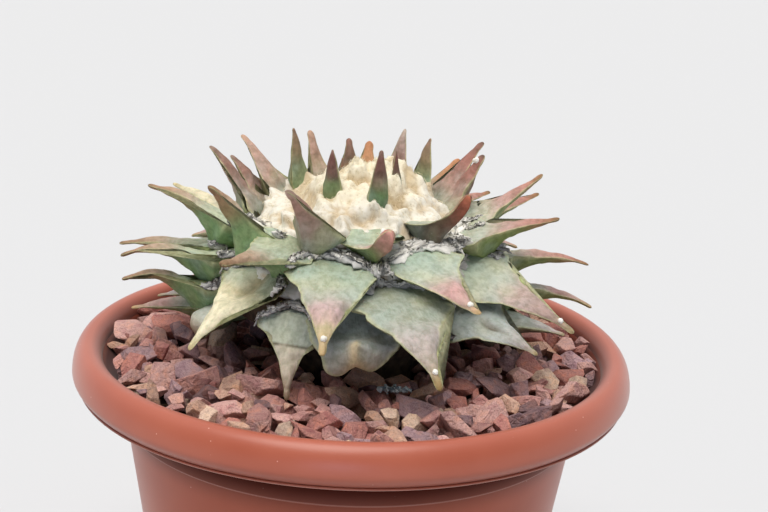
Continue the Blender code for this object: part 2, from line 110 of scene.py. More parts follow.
def mixNode(material, part, first, second, blending="MIX"):
    return addNode(material, "ShaderNodeMix", 2, {0: part, 6: first, 7: second}, data_type="RGBA",
                   blend_type=blending)


def mathNode(material, operation, first, second=0):
    return addNode(material, "ShaderNodeMath", 0, {0: first, 1: second}, operation=operation)


def rangeNode(material, value, before, after, way="LINEAR"):
    return addNode(material, "ShaderNodeMapRange", 0, {
        "Value": value, "From Min": before[0], "From Max": before[1], "To Min": after[0], "To Max": after[1],
    }, interpolation_type=way)


def bumpNode(material, height, strength, depth, under=None):
    inputs = {"Height": height, "Strength": strength, "Distance": depth}
    if under is not None:
        inputs["Normal"] = under
    return addNode(material, "ShaderNodeBump", 0, inputs)


def meshFrom(shape, name):
    mesh = bpy.data.meshes.new(name)
    shape.to_mesh(mesh)
    shape.free()
    return mesh


def addObject(name, data):
    item = bpy.data.objects.new(name, data)
    bpy.context.scene.collection.objects.link(item)
    return item


def finishPiece(shape, name, material, replaced, sharpAngle=None):
    mesh = meshFrom(shape, name)
    mesh.materials.append(material)
    mesh.shade_smooth()
    if sharpAngle:
        mesh.set_sharp_from_angle(angle=radians(sharpAngle))
    piece = addObject(name, mesh)
    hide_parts(replaced)
    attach(piece, "root")
    print("made", name, len(mesh.polygons), "faces")
    return piece


def spun(profile, steps):  # a profile of (radius, z) from axis to axis, turned into a closed solid
    shape = bmesh.new()
    points = [shape.verts.new((radius, 0, z)) for radius, z in profile]
    lines = [shape.edges.new(pair) for pair in zip(points, points[1:])]
    bmesh.ops.spin(shape, geom=points + lines, cent=(0, 0, 0), axis=(0, 0, 1), dvec=(0, 0, 0),
                   angle=tau, steps=steps, use_merge=True)
    bmesh.ops.remove_doubles(shape, verts=shape.verts, dist=0.001 * mm)
    bmesh.ops.recalc_face_normals(shape, faces=shape.faces)
    return shape


def arc(centre, radii, start, end, count):
    angles = [radians(start + (end - start) * i / count) for i in range(count + 1)]
    return [(centre[0] + radii[0] * cos(a), centre[1] + radii[1] * sin(a)) for a in angles]


def polar(level, turn):  # the direction that lies level below +Z and turn round it
    return Vector((sin(level) * cos(turn), sin(level) * sin(turn), cos(level)))


def scatter(draw, spread):
    return Vector([draw.gauss(0, spread) for axis in range(3)])


def wave(spot, size, drift=Vector((0, 0, 0))):  # smooth noise of a length and a height
    return size[1] * noise.noise(spot / size[0] + drift)


def toned(tint, tone):
    return [channel * tone for channel in tint[:3]] + [1]


# Camera, light and floor

view = dict(
    imageWidth=768, focalPixels=1700, sensor=36, distance=556.35 * mm, aimHeight=121 * mm,
    elevation=20.412, yaw=-0.913, pitch=3.729, roll=-2.394,
)


def placeCamera():
    down = radians(view["elevation"])
    ahead = Vector((0, cos(down), -sin(down)))
    right = Vector((1, 0, 0))
    up = right.cross(ahead)
    yaw = Matrix.Rotation(radians(view["yaw"]), 3, up)
    ahead, right = yaw @ ahead, yaw @ right
    pitch = Matrix.Rotation(radians(view["pitch"]), 3, right)
    ahead, up = pitch @ ahead, pitch @ up
    roll = Matrix.Rotation(radians(view["roll"]), 3, ahead)
    right, up = roll @ right, roll @ up
    lens = bpy.data.cameras.new("camera")
    lens.sensor_width = view["sensor"]
    lens.lens = view["focalPixels"] * view["sensor"] / view["imageWidth"]
    lens.clip_start = 10 * mm
    camera = addObject("camera", lens)
    camera.matrix_world = Matrix((right, up, -ahead)).transposed().to_4x4()
    camera.location = (0, -view["distance"] * cos(down),
                       view["distance"] * sin(down) + view["aimHeight"])
    bpy.context.scene.camera = camera


studio = dict(
    floorHalfSize=5.0, floorColour="#c9cacc", lightAim=(0, 0, 120 * mm),
    skyStops=[(0.28, "#4c4c4e"), (0.5, "#a2a4a6"), (0.74, "#f2f6fa"), (1, "#ffffff")],
    skyStrength=0.88, skySlope=(0, 0.35, 0.35), skyMiddle=0.5,
    overheadStrength=2.6, overheadSpread=46, overheadFrom=(-0.2, -0.72, 2.0),
    overheadColour="#fffaf4",
    windowSize=0.4, windowPlace=(-0.1, -1.6, 0.15), windowPower=2.6, windowColour="#c6d6ff",
)


def addLight(name, kind, place, **values):
    light = bpy.data.lights.new(name, kind)
    for setting, value in values.items():
        setattr(light, setting, value)
    lamp = addObject(name, light)
    lamp.location = place
    lamp.rotation_euler = (Vector(studio["lightAim"]) - Vector(place)).to_track_quat("-Z", "Y").to_euler()


def lightStudio():  # soft light from above, a weak window by the camera, a plain pale floor
    world = bpy.data.worlds.new("studio")
    bpy.context.scene.world = world
    world.use_nodes = True
    sky = world.node_tree.nodes["Background"]
    sky.inputs["Strength"].default_value = studio["skyStrength"]
    way = addNode(world, "ShaderNodeTexCoord", "Generated")
    slope = addNode(world, "ShaderNodeVectorMath", "Value", {0: way, 1: studio["skySlope"]},
                    operation="DOT_PRODUCT")
    glow = rampNode(world, mathNode(world, "ADD", slope, studio["skyMiddle"]), studio["skyStops"])
    world.node_tree.links.new(glow, sky.inputs["Color"])
    addLight("overhead", "SUN", studio["overheadFrom"], energy=studio["overheadStrength"],
             angle=radians(studio["overheadSpread"]), color=toLinear(studio["overheadColour"])[:3])
    addLight("window", "AREA", studio["windowPlace"], energy=studio["windowPower"], size=studio["windowSize"],
             color=toLinear(studio["windowColour"])[:3])
    floorShape = bmesh.new()
    bmesh.ops.create_grid(floorShape, x_segments=4, y_segments=4, size=studio["floorHalfSize"])
    floor = addObject("floor", meshFrom(floorShape, "floor"))
    floor.data.materials.append(newMaterial("matte backdrop paper", {
        "Base Color": toLinear(studio["floorColour"]), "Roughness": 0.9, "IOR": 1.4}))


placeCamera()
lightStudio()
bpy.context.scene.view_settings.view_transform = "Standard"
print("camera and light placed")


# Pot

pot = dict(
    height=130 * mm, crestRadius=85.2 * mm, lipInnerRadius=80.4 * mm, lipRadius=90 * mm,
    widestZ=121 * mm, slopeEndZ=125 * mm, slopeRise=4 * mm, slopeRows=12,
    bellyRows=6, bellyCurve=1.6, hemRadius=87.7 * mm, hemZ=116.5 * mm, hemRound=0.55 * mm,
    channelZ=124.5 * mm, neckRadius=73.6 * mm, neckTopZ=112 * mm, neckFillet=1.5 * mm,
    stepZ=105 * mm, stepDepth=0.7 * mm, stepRound=0.35 * mm, footRound=1.5 * mm,
    baseRadius=56 * mm, wall=2 * mm, floor=3 * mm, steps=160, sharpAngle=38,
    drains=8, drainRadius=4 * mm, drainRing=43 * mm, drainDepth=20 * mm,
    # the dust colour also paints the paler hem line and the step's painted highlight
    colour="#b3614a", deepColour="#a8553e", cloud=40 * mm, dustAndHighlight="#dcaa9b", speckSpacing=5 * mm,
    # painted shade under the lip and on the lip's lower belly: its colour, where it falls and how strong
    paintedShadeColour="#380c04", recess=(84 * mm, 79 * mm), recessDrop=(98 * mm, 111 * mm),
    recessPaintedShade=0.95, bellyDrop=(122 * mm, 116.5 * mm), bellyPaintedShade=0.35,
    shine=0.5, wallMatt=0.6, wallTop=(110 * mm, 115 * mm),
    # a paler line along the hem, and a painted highlight along the step's edge
    hemPaleness=0.55, hemLine=(116.4 * mm, 117.3 * mm), stepHighlightStrength=0.3, stepHighlightWidth=0.6 * mm,
    grain=0.5 * mm, grainDepth=0.1 * mm,
)


def wallRadius(z):
    top = pot["neckRadius"] - pot["stepDepth"]
    return pot["baseRadius"] + (top - pot["baseRadius"]) * z / pot["stepZ"]


def pottedPlastic():  # moulded polypropylene: satin skin, dust specks, painted shade under the lip and on its lower belly, a paler line along the hem, a painted highlight along the step
    plastic = newMaterial("moulded polypropylene", {
        "Sheen Weight": 0.15, "Sheen Roughness": 0.45, "Roughness": 0.36, "IOR": 1.5})
    place = objectPlace(plastic)
    height = addNode(plastic, "ShaderNodeSeparateXYZ", "Z", {"Vector": place})
    level = addNode(plastic, "ShaderNodeVectorMath", 0, {0: place, 1: (1, 1, 0)}, operation="MULTIPLY")
    radius = addNode(plastic, "ShaderNodeVectorMath", "Value", {0: level}, operation="LENGTH")
    outside = mathNode(plastic, "GREATER_THAN", radius, pot["crestRadius"])
    clouds = rampNode(plastic, noiseNode(plastic, place, pot["cloud"], 4),
                      [(0.3, pot["deepColour"]), (0.7, pot["colour"])])
    specks = rampNode(plastic, cellNode(plastic, place, pot["speckSpacing"]),
                      [(0.02, "#ffffff"), (0.05, "#000000")])
    dusty = mixNode(plastic, specks, clouds, toLinear(pot["dustAndHighlight"]))
    # painted shade: the recess under the lip and the lower belly turn near black and lose their shine
    inRecess = mathNode(plastic, "MULTIPLY", rangeNode(plastic, radius, pot["recess"], (0, 1)),
                        rangeNode(plastic, height, pot["recessDrop"], (0, pot["recessPaintedShade"]), "SMOOTHSTEP"))
    onBelly = mathNode(plastic, "MULTIPLY", outside,
                       rangeNode(plastic, height, pot["bellyDrop"], (0, pot["bellyPaintedShade"]), "SMOOTHSTEP"))
    paintedShade = mathNode(plastic, "MAXIMUM", inRecess, onBelly)
    matt = rangeNode(plastic, height, pot["wallTop"], (pot["wallMatt"], 0))
    feed(plastic, "Specular IOR Level",
         rangeNode(plastic, mathNode(plastic, "MAXIMUM", paintedShade, matt), (0, 1), (pot["shine"], 0)))
    withPaintedShade = mixNode(plastic, paintedShade, dusty, toLinear(pot["paintedShadeColour"]))
    # a paler line along the hem and a painted highlight along the step's edge, both in the dust colour
    hemPale = mathNode(plastic, "MULTIPLY",
                       rangeNode(plastic, height, pot["hemLine"], (pot["hemPaleness"], 0)), outside)
    fromStep = mathNode(plastic, "ABSOLUTE", mathNode(plastic, "SUBTRACT", height, pot["stepZ"]))
    stepHighlight = rangeNode(plastic, fromStep, (0, pot["stepHighlightWidth"]), (pot["stepHighlightStrength"], 0))
    paleHemAndStepHighlight = mathNode(plastic, "MAXIMUM", hemPale, stepHighlight)
    return dress(plastic, mixNode(plastic, paleHemAndStepHighlight, withPaintedShade, toLinear(pot["dustAndHighlight"])),
                 bumpNode(plastic, noiseNode(plastic, place, pot["grain"], 2), 0.08, pot["grainDepth"]))


def lipProfile():  # over the crest, round the belly and the hem, and back under to the neck
    crest, edge, hemRound, wall = pot["crestRadius"], pot["lipRadius"], pot["hemRound"], pot["wall"]
    lipIn = arc((crest, pot["slopeEndZ"]),
                (crest - pot["lipInnerRadius"], pot["height"] - pot["slopeEndZ"]), 180, 90, 10)
    lipOut = arc((crest, pot["widestZ"]), (edge - crest, pot["height"] - pot["widestZ"]), 90, 0, 16)
    belly = []
    for i in range(1, pot["bellyRows"]):
        share = i / pot["bellyRows"]
        belly.append((edge + (pot["hemRadius"] - edge) * share ** pot["bellyCurve"],
                      pot["widestZ"] + (pot["hemZ"] + 1 * mm - pot["widestZ"]) * share))
    hem = arc((pot["hemRadius"] - hemRound, pot["hemZ"] + hemRound), (1.0 * mm, hemRound), 60, -90, 7)
    under = [(pot["hemRadius"] - wall, pot["hemZ"]), (crest + wall / 2, pot["channelZ"]),
             (crest - wall / 2, pot["channelZ"])]
    return lipIn + lipOut[1:] + belly + hem + under


def drainCutter():
    cutter = bmesh.new()
    for i in range(pot["drains"]):
        angle = tau * i / pot["drains"]
        spot = (pot["drainRing"] * cos(angle), pot["drainRing"] * sin(angle), 0)
        bmesh.ops.create_cone(cutter, cap_ends=True, segments=32, radius1=pot["drainRadius"],
                              radius2=pot["drainRadius"], depth=pot["drainDepth"],
                              matrix=Matrix.Translation(spot))
    return addObject("drains", meshFrom(cutter, "drains"))


def makePot():
    wall, step, floor, fillet = pot["wall"], pot["stepZ"], pot["floor"], pot["neckFillet"]
    rounding, foot = pot["stepRound"], pot["footRound"]
    straight = pot["neckRadius"] - pot["stepDepth"] - wall
    inside = [(0, floor), (wallRadius(0) - 2.5 * wall, floor), (wallRadius(2 * floor) - wall, 2 * floor),
              (straight, step)]
    slopeZ = step + pot["slopeRise"]
    for i in range(pot["slopeRows"]):
        share = i / pot["slopeRows"]
        out = (pot["lipInnerRadius"] - straight) * (1 - cos(share * pi / 2))
        inside.append((straight + out, slopeZ + (pot["slopeEndZ"] - slopeZ) * share))
    neck = [(pot["neckRadius"] + 2.5 * mm, pot["neckTopZ"] + 3 * mm)]
    neck += arc((pot["neckRadius"] + fillet, pot["neckTopZ"] + fillet), (fillet, fillet), 270, 180, 4)[-2:]
    ridge = arc((pot["neckRadius"] - rounding, step + rounding), (rounding, rounding), 20, -80, 4)
    lower = [(straight + wall, step)] + [(wallRadius(part * step), part * step) for part in (0.6, 0.3)]
    lower += arc((wallRadius(foot) - foot, foot), (foot, foot), 0, -90, 5) + [(0, 0)]
    shape = spun(inside + lipProfile() + neck + ridge + lower, pot["steps"])
    piece = finishPiece(shape, "pot_shell", pottedPlastic(), "pot", pot["sharpAngle"])
    drains = drainCutter()
    cut = piece.modifiers.new("drains", "BOOLEAN")
    cut.object = drains
    cut.solver = "EXACT"
    bored = bpy.data.meshes.new_from_object(piece.evaluated_get(bpy.context.evaluated_depsgraph_get()))
    piece.modifiers.clear()
    piece.data = bored
    bpy.data.objects.remove(drains)


makePot()


# Potting mix: the solid itself, in a crumbly dark finish

def pottingMix():  # peat and grit, matt and almost black where it is damp
    mix = newMaterial("peat and grit", {"Roughness": 0.95, "IOR": 1.4})
    crumbs = cellNode(mix, objectPlace(mix), 1.6 * mm)
    return dress(mix, rampNode(mix, crumbs, [(0.1, "#120c08"), (0.5, "#33241a"), (0.9, "#57432f")]),
                 bumpNode(mix, crumbs, 0.8, 0.6 * mm))


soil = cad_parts["soil"]
soil.data.materials.clear()
soil.data.materials.append(pottingMix())


# Gravel: crushed stones in three layers on a dark bed

gravel = dict(
    seed=21, templates=30, cuts=8, cutDepth=(0.4, 0.85), edge=0.04, skew=0.32,
    tilt=(0.2, 0.6), weld=0.12, lie=0.45, tone=(0.75, 1.25), sharpAngle=16,
    layers=[(117 * mm, 73 * mm, 300), (121 * mm, 77 * mm, 500), (125.2 * mm, 79.8 * mm, 2600)],
    size=(2.4 * mm, 6.6 * mm), smallShare=1.2, spacing=0.68, lift=1.3 * mm, headroom=0.5 * mm,
    innerRadius=25 * mm, bedTopZ=118 * mm, bedBottomZ=114 * mm, bedRadius=72.5 * mm,
    palette=[("#bd918a", 6), ("#c9a794", 5), ("#aa8f93", 6), ("#d3baa7", 2), ("#866c6e", 3),
                ("#cda69f", 7), ("#b58178", 4)],
    vein=3.2 * mm, veinStops=[(0.3, "#7a6474"), (0.48, "#b6afae"), (0.7, "#e3b79d")],
    grit=0.4 * mm, gritDepth=0.35 * mm, chip=1.8 * mm, chipDepth=1.1 * mm,
    crystals=46, crystalSpot=(12.5 * mm, -39.5 * mm, 128.6 * mm), crystalSpread=(4.2 * mm, 2.2 * mm),
    crystalSize=(0.45 * mm, 1.0 * mm), crystalPalette=["#a9bac0", "#8198a0", "#d3dfe2", "#748890"],
)


def crushedStone():  # crushed rhyolite: flat broken faces, matt, with fine grain and a dusty bloom
    stone = newMaterial("crushed rhyolite", {"Roughness": 0.86, "IOR": 1.5})
    place = objectPlace(stone)
    veins = rampNode(stone, noiseNode(stone, place, gravel["vein"], 5, distortion=0.6), gravel["veinStops"])
    tinted = mixNode(stone, 0.75, carried(stone, "stoneColour"), veins, "SOFT_LIGHT")
    specks = noiseNode(stone, place, gravel["grit"], 3)
    shade = rampNode(stone, specks, [(0.3, "#8d8886"), (0.55, "#ffffff")])
    chips = noiseNode(stone, place, gravel["chip"], 3, distortion=0.8)
    rough = bumpNode(stone, chips, 1.0, gravel["chipDepth"])
    return dress(stone, mixNode(stone, 0.45, tinted, shade, "MULTIPLY"),
                 bumpNode(stone, specks, 0.8, gravel["gritDepth"], rough))


def stoneTemplate(draw):  # a block, broken by a few flat cuts, its sharpest edges worn
    shape = bmesh.new()
    bmesh.ops.create_cube(shape, size=1.5)
    first, second = [Matrix.Rotation(draw.uniform(*gravel["tilt"]), 3, axis) for axis in "XY"]
    bmesh.ops.rotate(shape, verts=shape.verts, cent=(0, 0, 0), matrix=first @ second)
    for i in range(gravel["cuts"]):
        out = scatter(draw, 1).normalized()
        reach = out * draw.uniform(*gravel["cutDepth"])
        bmesh.ops.bisect_plane(shape, geom=shape.verts[:] + shape.edges[:] + shape.faces[:], plane_co=reach,
                               plane_no=out, clear_outer=True)
        bmesh.ops.holes_fill(shape, edges=[e for e in shape.edges if e.is_boundary], sides=0)
    skew = Matrix.Identity(3)
    for row, column in ((0, 1), (0, 2), (1, 2)):
        skew[row][column] = draw.uniform(-gravel["skew"], gravel["skew"])
    stretch = Matrix.Diagonal((1.3, draw.uniform(0.8, 1.1), draw.uniform(0.62, 0.95)))
    bmesh.ops.transform(shape, matrix=(stretch @ skew).to_4x4(), verts=shape.verts)
    bmesh.ops.remove_doubles(shape, verts=shape.verts, dist=gravel["weld"])
    bmesh.ops.bevel(shape, geom=shape.edges[:], offset=gravel["edge"], affect="EDGES", segments=1,
                    profile=0.5, clamp_overlap=True, material=-1)
    return meshFrom(shape, "stone")


def addStone(shape, layer, draw, mesh, place, size, tint):
    first = len(shape.verts)
    shape.from_mesh(mesh)
    shape.verts.ensure_lookup_table()
    turn = (Matrix.Rotation(draw.uniform(0, tau), 4, "Z")
            @ Matrix.Rotation(draw.gauss(0, gravel["lie"]), 4, "X")
            @ Matrix.Rotation(draw.gauss(0, gravel["lie"]), 4, "Y"))
    stretch = Matrix.Diagonal((size * draw.uniform(0.95, 1.3), size * draw.uniform(0.85, 1.1),
                               size * draw.uniform(0.8, 1.1), 1))
    matrix = Matrix.Translation(place) @ turn @ stretch
    tone = draw.uniform(*gravel["tone"])
    for vertex in shape.verts[first:]:
        vertex.co = matrix @ vertex.co
        vertex[layer] = toned(tint, tone)


def makeGravel():
    draw = random.Random(gravel["seed"])
    templates = [stoneTemplate(draw) for i in range(gravel["templates"])]
    colours = [toLinear(tint) for tint, weight in gravel["palette"] for i in range(weight)]
    overhead = BVHTree.FromObject(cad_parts["cactus"], bpy.context.evaluated_depsgraph_get())
    shape = bmesh.new()
    layer = shape.verts.layers.float_color.new("stoneColour")
    low, high = gravel["size"]
    inner, bottom, top = gravel["innerRadius"], gravel["bedBottomZ"], gravel["bedTopZ"]
    for height, reach, tries in gravel["layers"]:
        placed = []
        for i in range(tries):
            size = low + (high - low) * draw.random() ** gravel["smallShare"]
            angle = draw.uniform(0, tau)
            radius = sqrt(draw.uniform(inner ** 2, (reach - 0.8 * size) ** 2))
            x, y = radius * cos(angle), radius * sin(angle)
            if any((x - a) ** 2 + (y - b) ** 2 < (gravel["spacing"] * (size + c)) ** 2 for a, b, c in placed):
                continue
            z = height + draw.uniform(-1, 1) * gravel["lift"]
            hit = overhead.ray_cast(Vector((x, y, bottom)), Vector((0, 0, 1)))[0]
            if hit:  # the stones stay under the tubercles
                z = min(z, hit.z - 0.7 * size - gravel["headroom"])
            if z < bottom + size:
                continue
            placed.append((x, y, size))
            addStone(shape, layer, draw, draw.choice(templates), (x, y, z), size, draw.choice(colours))
        print("layer of", len(placed), "stones")
    for i in range(gravel["crystals"]):
        away = Vector([draw.gauss(0, 0.5) * spread for spread in gravel["crystalSpread"]] + [0])
        addStone(shape, layer, draw, draw.choice(templates), Vector(gravel["crystalSpot"]) + away,
                 draw.uniform(*gravel["crystalSize"]), toLinear(draw.choice(gravel["crystalPalette"])))
    for mesh in templates:
        bpy.data.meshes.remove(mesh)
    bmesh.ops.recalc_face_normals(shape, faces=shape.faces)
    finishPiece(shape, "gravel_stones", crushedStone(), "gravel", gravel["sharpAngle"])
    within = inner - 1 * mm
    bed = spun([(within, bottom), (gravel["bedRadius"] - 1 * mm, bottom), (gravel["bedRadius"], top),
                (within, top), (within, bottom)], 90)
    finishPiece(bed, "gravel_bed", pottingMix(), "gravel", 30)


makeGravel()


# Cactus: tiers of tubercles on a low dome

dome = dict(
    radius=41 * mm, height=40 * mm, midZ=143 * mm, stemHeight=32 * mm, stemSink=1.5 * mm,
    rootNeckRadius=21 * mm, rootNeckZ=125 * mm, rootTipZ=62 * mm, rootTipRadius=7 * mm,
    rootTipLength=2 * mm, rootRows=12, shoulderRows=9, stemRows=12, stemSteps=72,
)

tubercle = dict(
    keelDepth=1.15, keelLoss=0.5, fin=0.75, crestRise=0.07, crestCurve=2.2,
    beakRise=0.62, beakFrom=0.34, beakTo=0.8, widestAt=0.22, rootWidth=0.7, hookFrom=0.8,
    rowCrowding=1.25, rowLength=0.66 * mm, leastRows=16, sunkRows=3, rootSink=11 * mm,
    around=44, narrow=12, narrowAround=24, lean=4, calmWidth=5 * mm,
    swell=0.2, marginLength=8 * mm, marginWave=1.5 * mm, marginFrom=0.86, marginStrength=0.6,
    lump=(8 * mm, 1.0 * mm), dimple=(3.2 * mm, 0.55 * mm),
    pleat=(1.5 * mm, 6 * mm), pleatHeight=0.16 * mm,
    stray=(6 * mm, 0.045), fineStray=(1.2 * mm, 0.012), patch=(7 * mm, 1), patchMost=0.4,
    cloud=(3 * mm, 0.09), drift=(3.7, 1.3, 2.1),
    seed=5, turnJitter=4, lengthJitter=0.06, rearDrop=14,
    riseCurve=1.2, archTurns=1.1, waistCurve=0.8, closing=1.6, outerLevel=30,
    sinkInward=0.6, sinkBack=0.4, sunkNarrowing=0.25, greenTo=(0.3, 0.7), patchStrength=0.7,
    marginColour="#c9c997", yellowPatch="#cbcaa4", bluePatch="#aabdb4", groove="#85714a",
    scar="#5f5138", driedRidge="#d3bd96",
)

# One tier a row. level: degrees from the crown round the dome; rises, hook and sway in degrees;
# length, width and blunt tip in mm
formKeys = ("level", "length", "width", "rootRise", "tipRise", "taper", "hook", "sway", "waist", "blunt")
tiers = {name: dict(zip(formKeys, row)) for name, row in {
    "spike": (15, 13, 6, 83, 87, -0.2, 0, 0, 0, 0.5),
    "inner": (26, 19, 9, 71, 77, -0.3, -10, 0, 0, 0.8),
    "upright": (42, 23, 15, 46, 50, -0.1, -16, 0, 0.24, 1.3),
    "shoulder": (51, 33, 23, 17, 12, 0.2, 8, 0, 0.4, 1.1),
    "spread": (66, 38, 25, 4, -6, 0.35, -8, 0, 0.4, 0.9),
    "low": (80, 35, 25, -2, -12, 0.35, -6, 0, 0.38, 0.9),
    "lowest": (91, 28, 22, -10, -18, 0.3, 0, 0, 0.3, 0.9),
}.items()}

# How a tubercle colours from root (0) to tip (1): its upper face, then its keeled underside
looks = {
    "broad": ([(0, "#a3b39f"), (0.3, "#b0bdaa"), (0.5, "#bfbbae"), (0.6, "#ccb0ae"), (0.7, "#d8b9ae"),
        (0.78, "#d8c69f"), (1, "#c0a070")],
        [(0, "#7b8e5c"), (0.6, "#8f9260"), (1, "#b09a68")]),
    "blush": ([(0, "#aebfaa"), (0.35, "#bbc4b5"), (0.5, "#c4b3aa"), (0.64, "#cc9f9b"), (0.84, "#c6a59a"),
        (1, "#c3a271")],
        [(0, "#75895a"), (0.7, "#909a5a"), (1, "#b5a36c")]),
    "greyBlush": ([(0, "#a9b09f"), (0.4, "#b3b7a8"), (0.6, "#c3b6b2"), (0.82, "#bdae9f"), (0.93, "#a98f62"),
        (1, "#8f7445")],
        [(0, "#6c7a52"), (0.7, "#868a5a"), (1, "#8f7a4c")]),
    "longPink": ([(0, "#b7c5ae"), (0.3, "#c4c4b2"), (0.5, "#c1a7a0"), (0.8, "#aa9087"), (1, "#9c8c60")],
        [(0, "#687c48"), (0.6, "#8a9a52"), (1, "#c2b874")]),
    "ashen": ([(0, "#a2a9a2"), (0.5, "#b6bbb8"), (0.85, "#b8aca6"), (1, "#a8946c")],
        [(0, "#4f4a3a"), (0.7, "#6d634a"), (1, "#988e6c")]),
    "papery": ([(0, "#c0c8b8"), (0.36, "#c8cebd"), (0.385, "#6d6753"), (0.41, "#d6cdb9"), (0.7, "#cdc0ac"),
        (0.9, "#a89781"), (1, "#6d5a44")],
        [(0, "#6c7158"), (0.3, "#8e8a72"), (0.45, "#b3aa92"), (1, "#97886c")]),
    "straw": ([(0, "#b4b9a2"), (0.2, "#c1c4ab"), (0.29, "#d8cca9"), (0.4, "#f0e5c6"), (0.8, "#efe5c5"),
        (1, "#d8c698")],
        [(0, "#7b7c52"), (1, "#a5945f")]),
    "plum": ([(0, "#a7ab9a"), (0.35, "#ae9287"), (0.7, "#a1786b"), (1, "#998071")],
        [(0, "#84996d"), (0.2, "#999c82"), (0.42, "#b3988b"), (0.8, "#b98f80"), (1, "#c4a697")]),
    "brick": ([(0, "#aab09a"), (0.35, "#b38d83"), (0.7, "#a56f62"), (0.9, "#96685a"), (1, "#6a5040")],
        [(0, "#75705a"), (0.5, "#85604f"), (1, "#66503f")]),
    "knob": ([(0, "#aebda8"), (0.3, "#b5bda6"), (0.5, "#c6a79b"), (0.8, "#cc948a"), (1, "#c48a7c")],
        [(0, "#66793f"), (0.5, "#7f8f58"), (0.7, "#b08a78"), (1, "#c98f84")]),
    "slate": ([(0, "#989e9b"), (0.6, "#9fa4a1"), (0.85, "#aca798"), (1, "#b39f76")],
        [(0, "#4f4a3a"), (0.7, "#6d634a"), (1, "#8a7c5c")]),
    "spike": ([(0, "#5d7d48"), (0.4, "#758054"), (0.6, "#94725f"), (1, "#9f8072")],
        [(0, "#4d7038"), (0.3, "#597444"), (0.48, "#70564a"), (0.85, "#7d5149"), (1, "#9b7b6e")]),
    "fresh": ([(0, "#b6c4aa"), (0.4, "#bec6ad"), (0.6, "#bfa993"), (0.85, "#b38f74"), (1, "#8d7050")],
        [(0, "#7f9f6b"), (0.42, "#86a76f"), (0.6, "#9c8c64"), (0.85, "#a5805f"), (1, "#86694c")]),
    "coral": ([(0, "#b6bea8"), (0.3, "#c0bdab"), (0.48, "#c49c93"), (0.8, "#bd8678"), (0.93, "#a87a55"),
        (1, "#8a6a48")],
        [(0, "#74894b"), (0.6, "#8b9a58"), (0.8, "#a2825a"), (1, "#8f6f4a")]),
    "ember": ([(0, "#b8c2ab"), (0.5, "#bbab97"), (0.8, "#b07862"), (1, "#aa6450")],
        [(0, "#56634b"), (0.3, "#574c3f"), (0.6, "#78503f"), (0.85, "#a9604a"), (1, "#b8694c")]),
    "mauve": ([(0, "#93887e"), (0.5, "#ab8983"), (0.85, "#bda69a"), (1, "#d3c0b0")],
        [(0, "#76855e"), (1, "#94705f")]),
    "olive": ([(0, "#7b946a"), (0.35, "#8f9d7a"), (0.6, "#9b8769"), (1, "#8f6e5b")],
        [(0, "#76905e"), (1, "#94705f")]),
    "orange": ([(0, "#c49466"), (0.6, "#cf986f"), (1, "#c3845a")], [(0, "#a08a58"), (1, "#b0704a")]),
    "dusk": ([(0, "#5d5036"), (0.35, "#8f7146"), (0.5, "#67503e"), (1, "#93695a")],
        [(0, "#5d6a44"), (1, "#7a5548")]),
    "rosy": ([(0, "#b0b199"), (0.4, "#bc9a8c"), (0.8, "#c9a494"), (1, "#c09a80")],
        [(0, "#7c8c62"), (1, "#a47a68")]),
    "husk": ([(0, "#b9bcb4"), (0.6, "#c0c2b9"), (0.85, "#b3a288"), (1, "#7a5a3a")],
        [(0, "#8f8f80"), (1, "#8c6c48")]),
}

# The tubercles that the photo shows, tier by tier. Azimuth -90 faces the camera, and own says what
# differs from the tier
def at(azimuth, look, **own):
    return azimuth, look, own


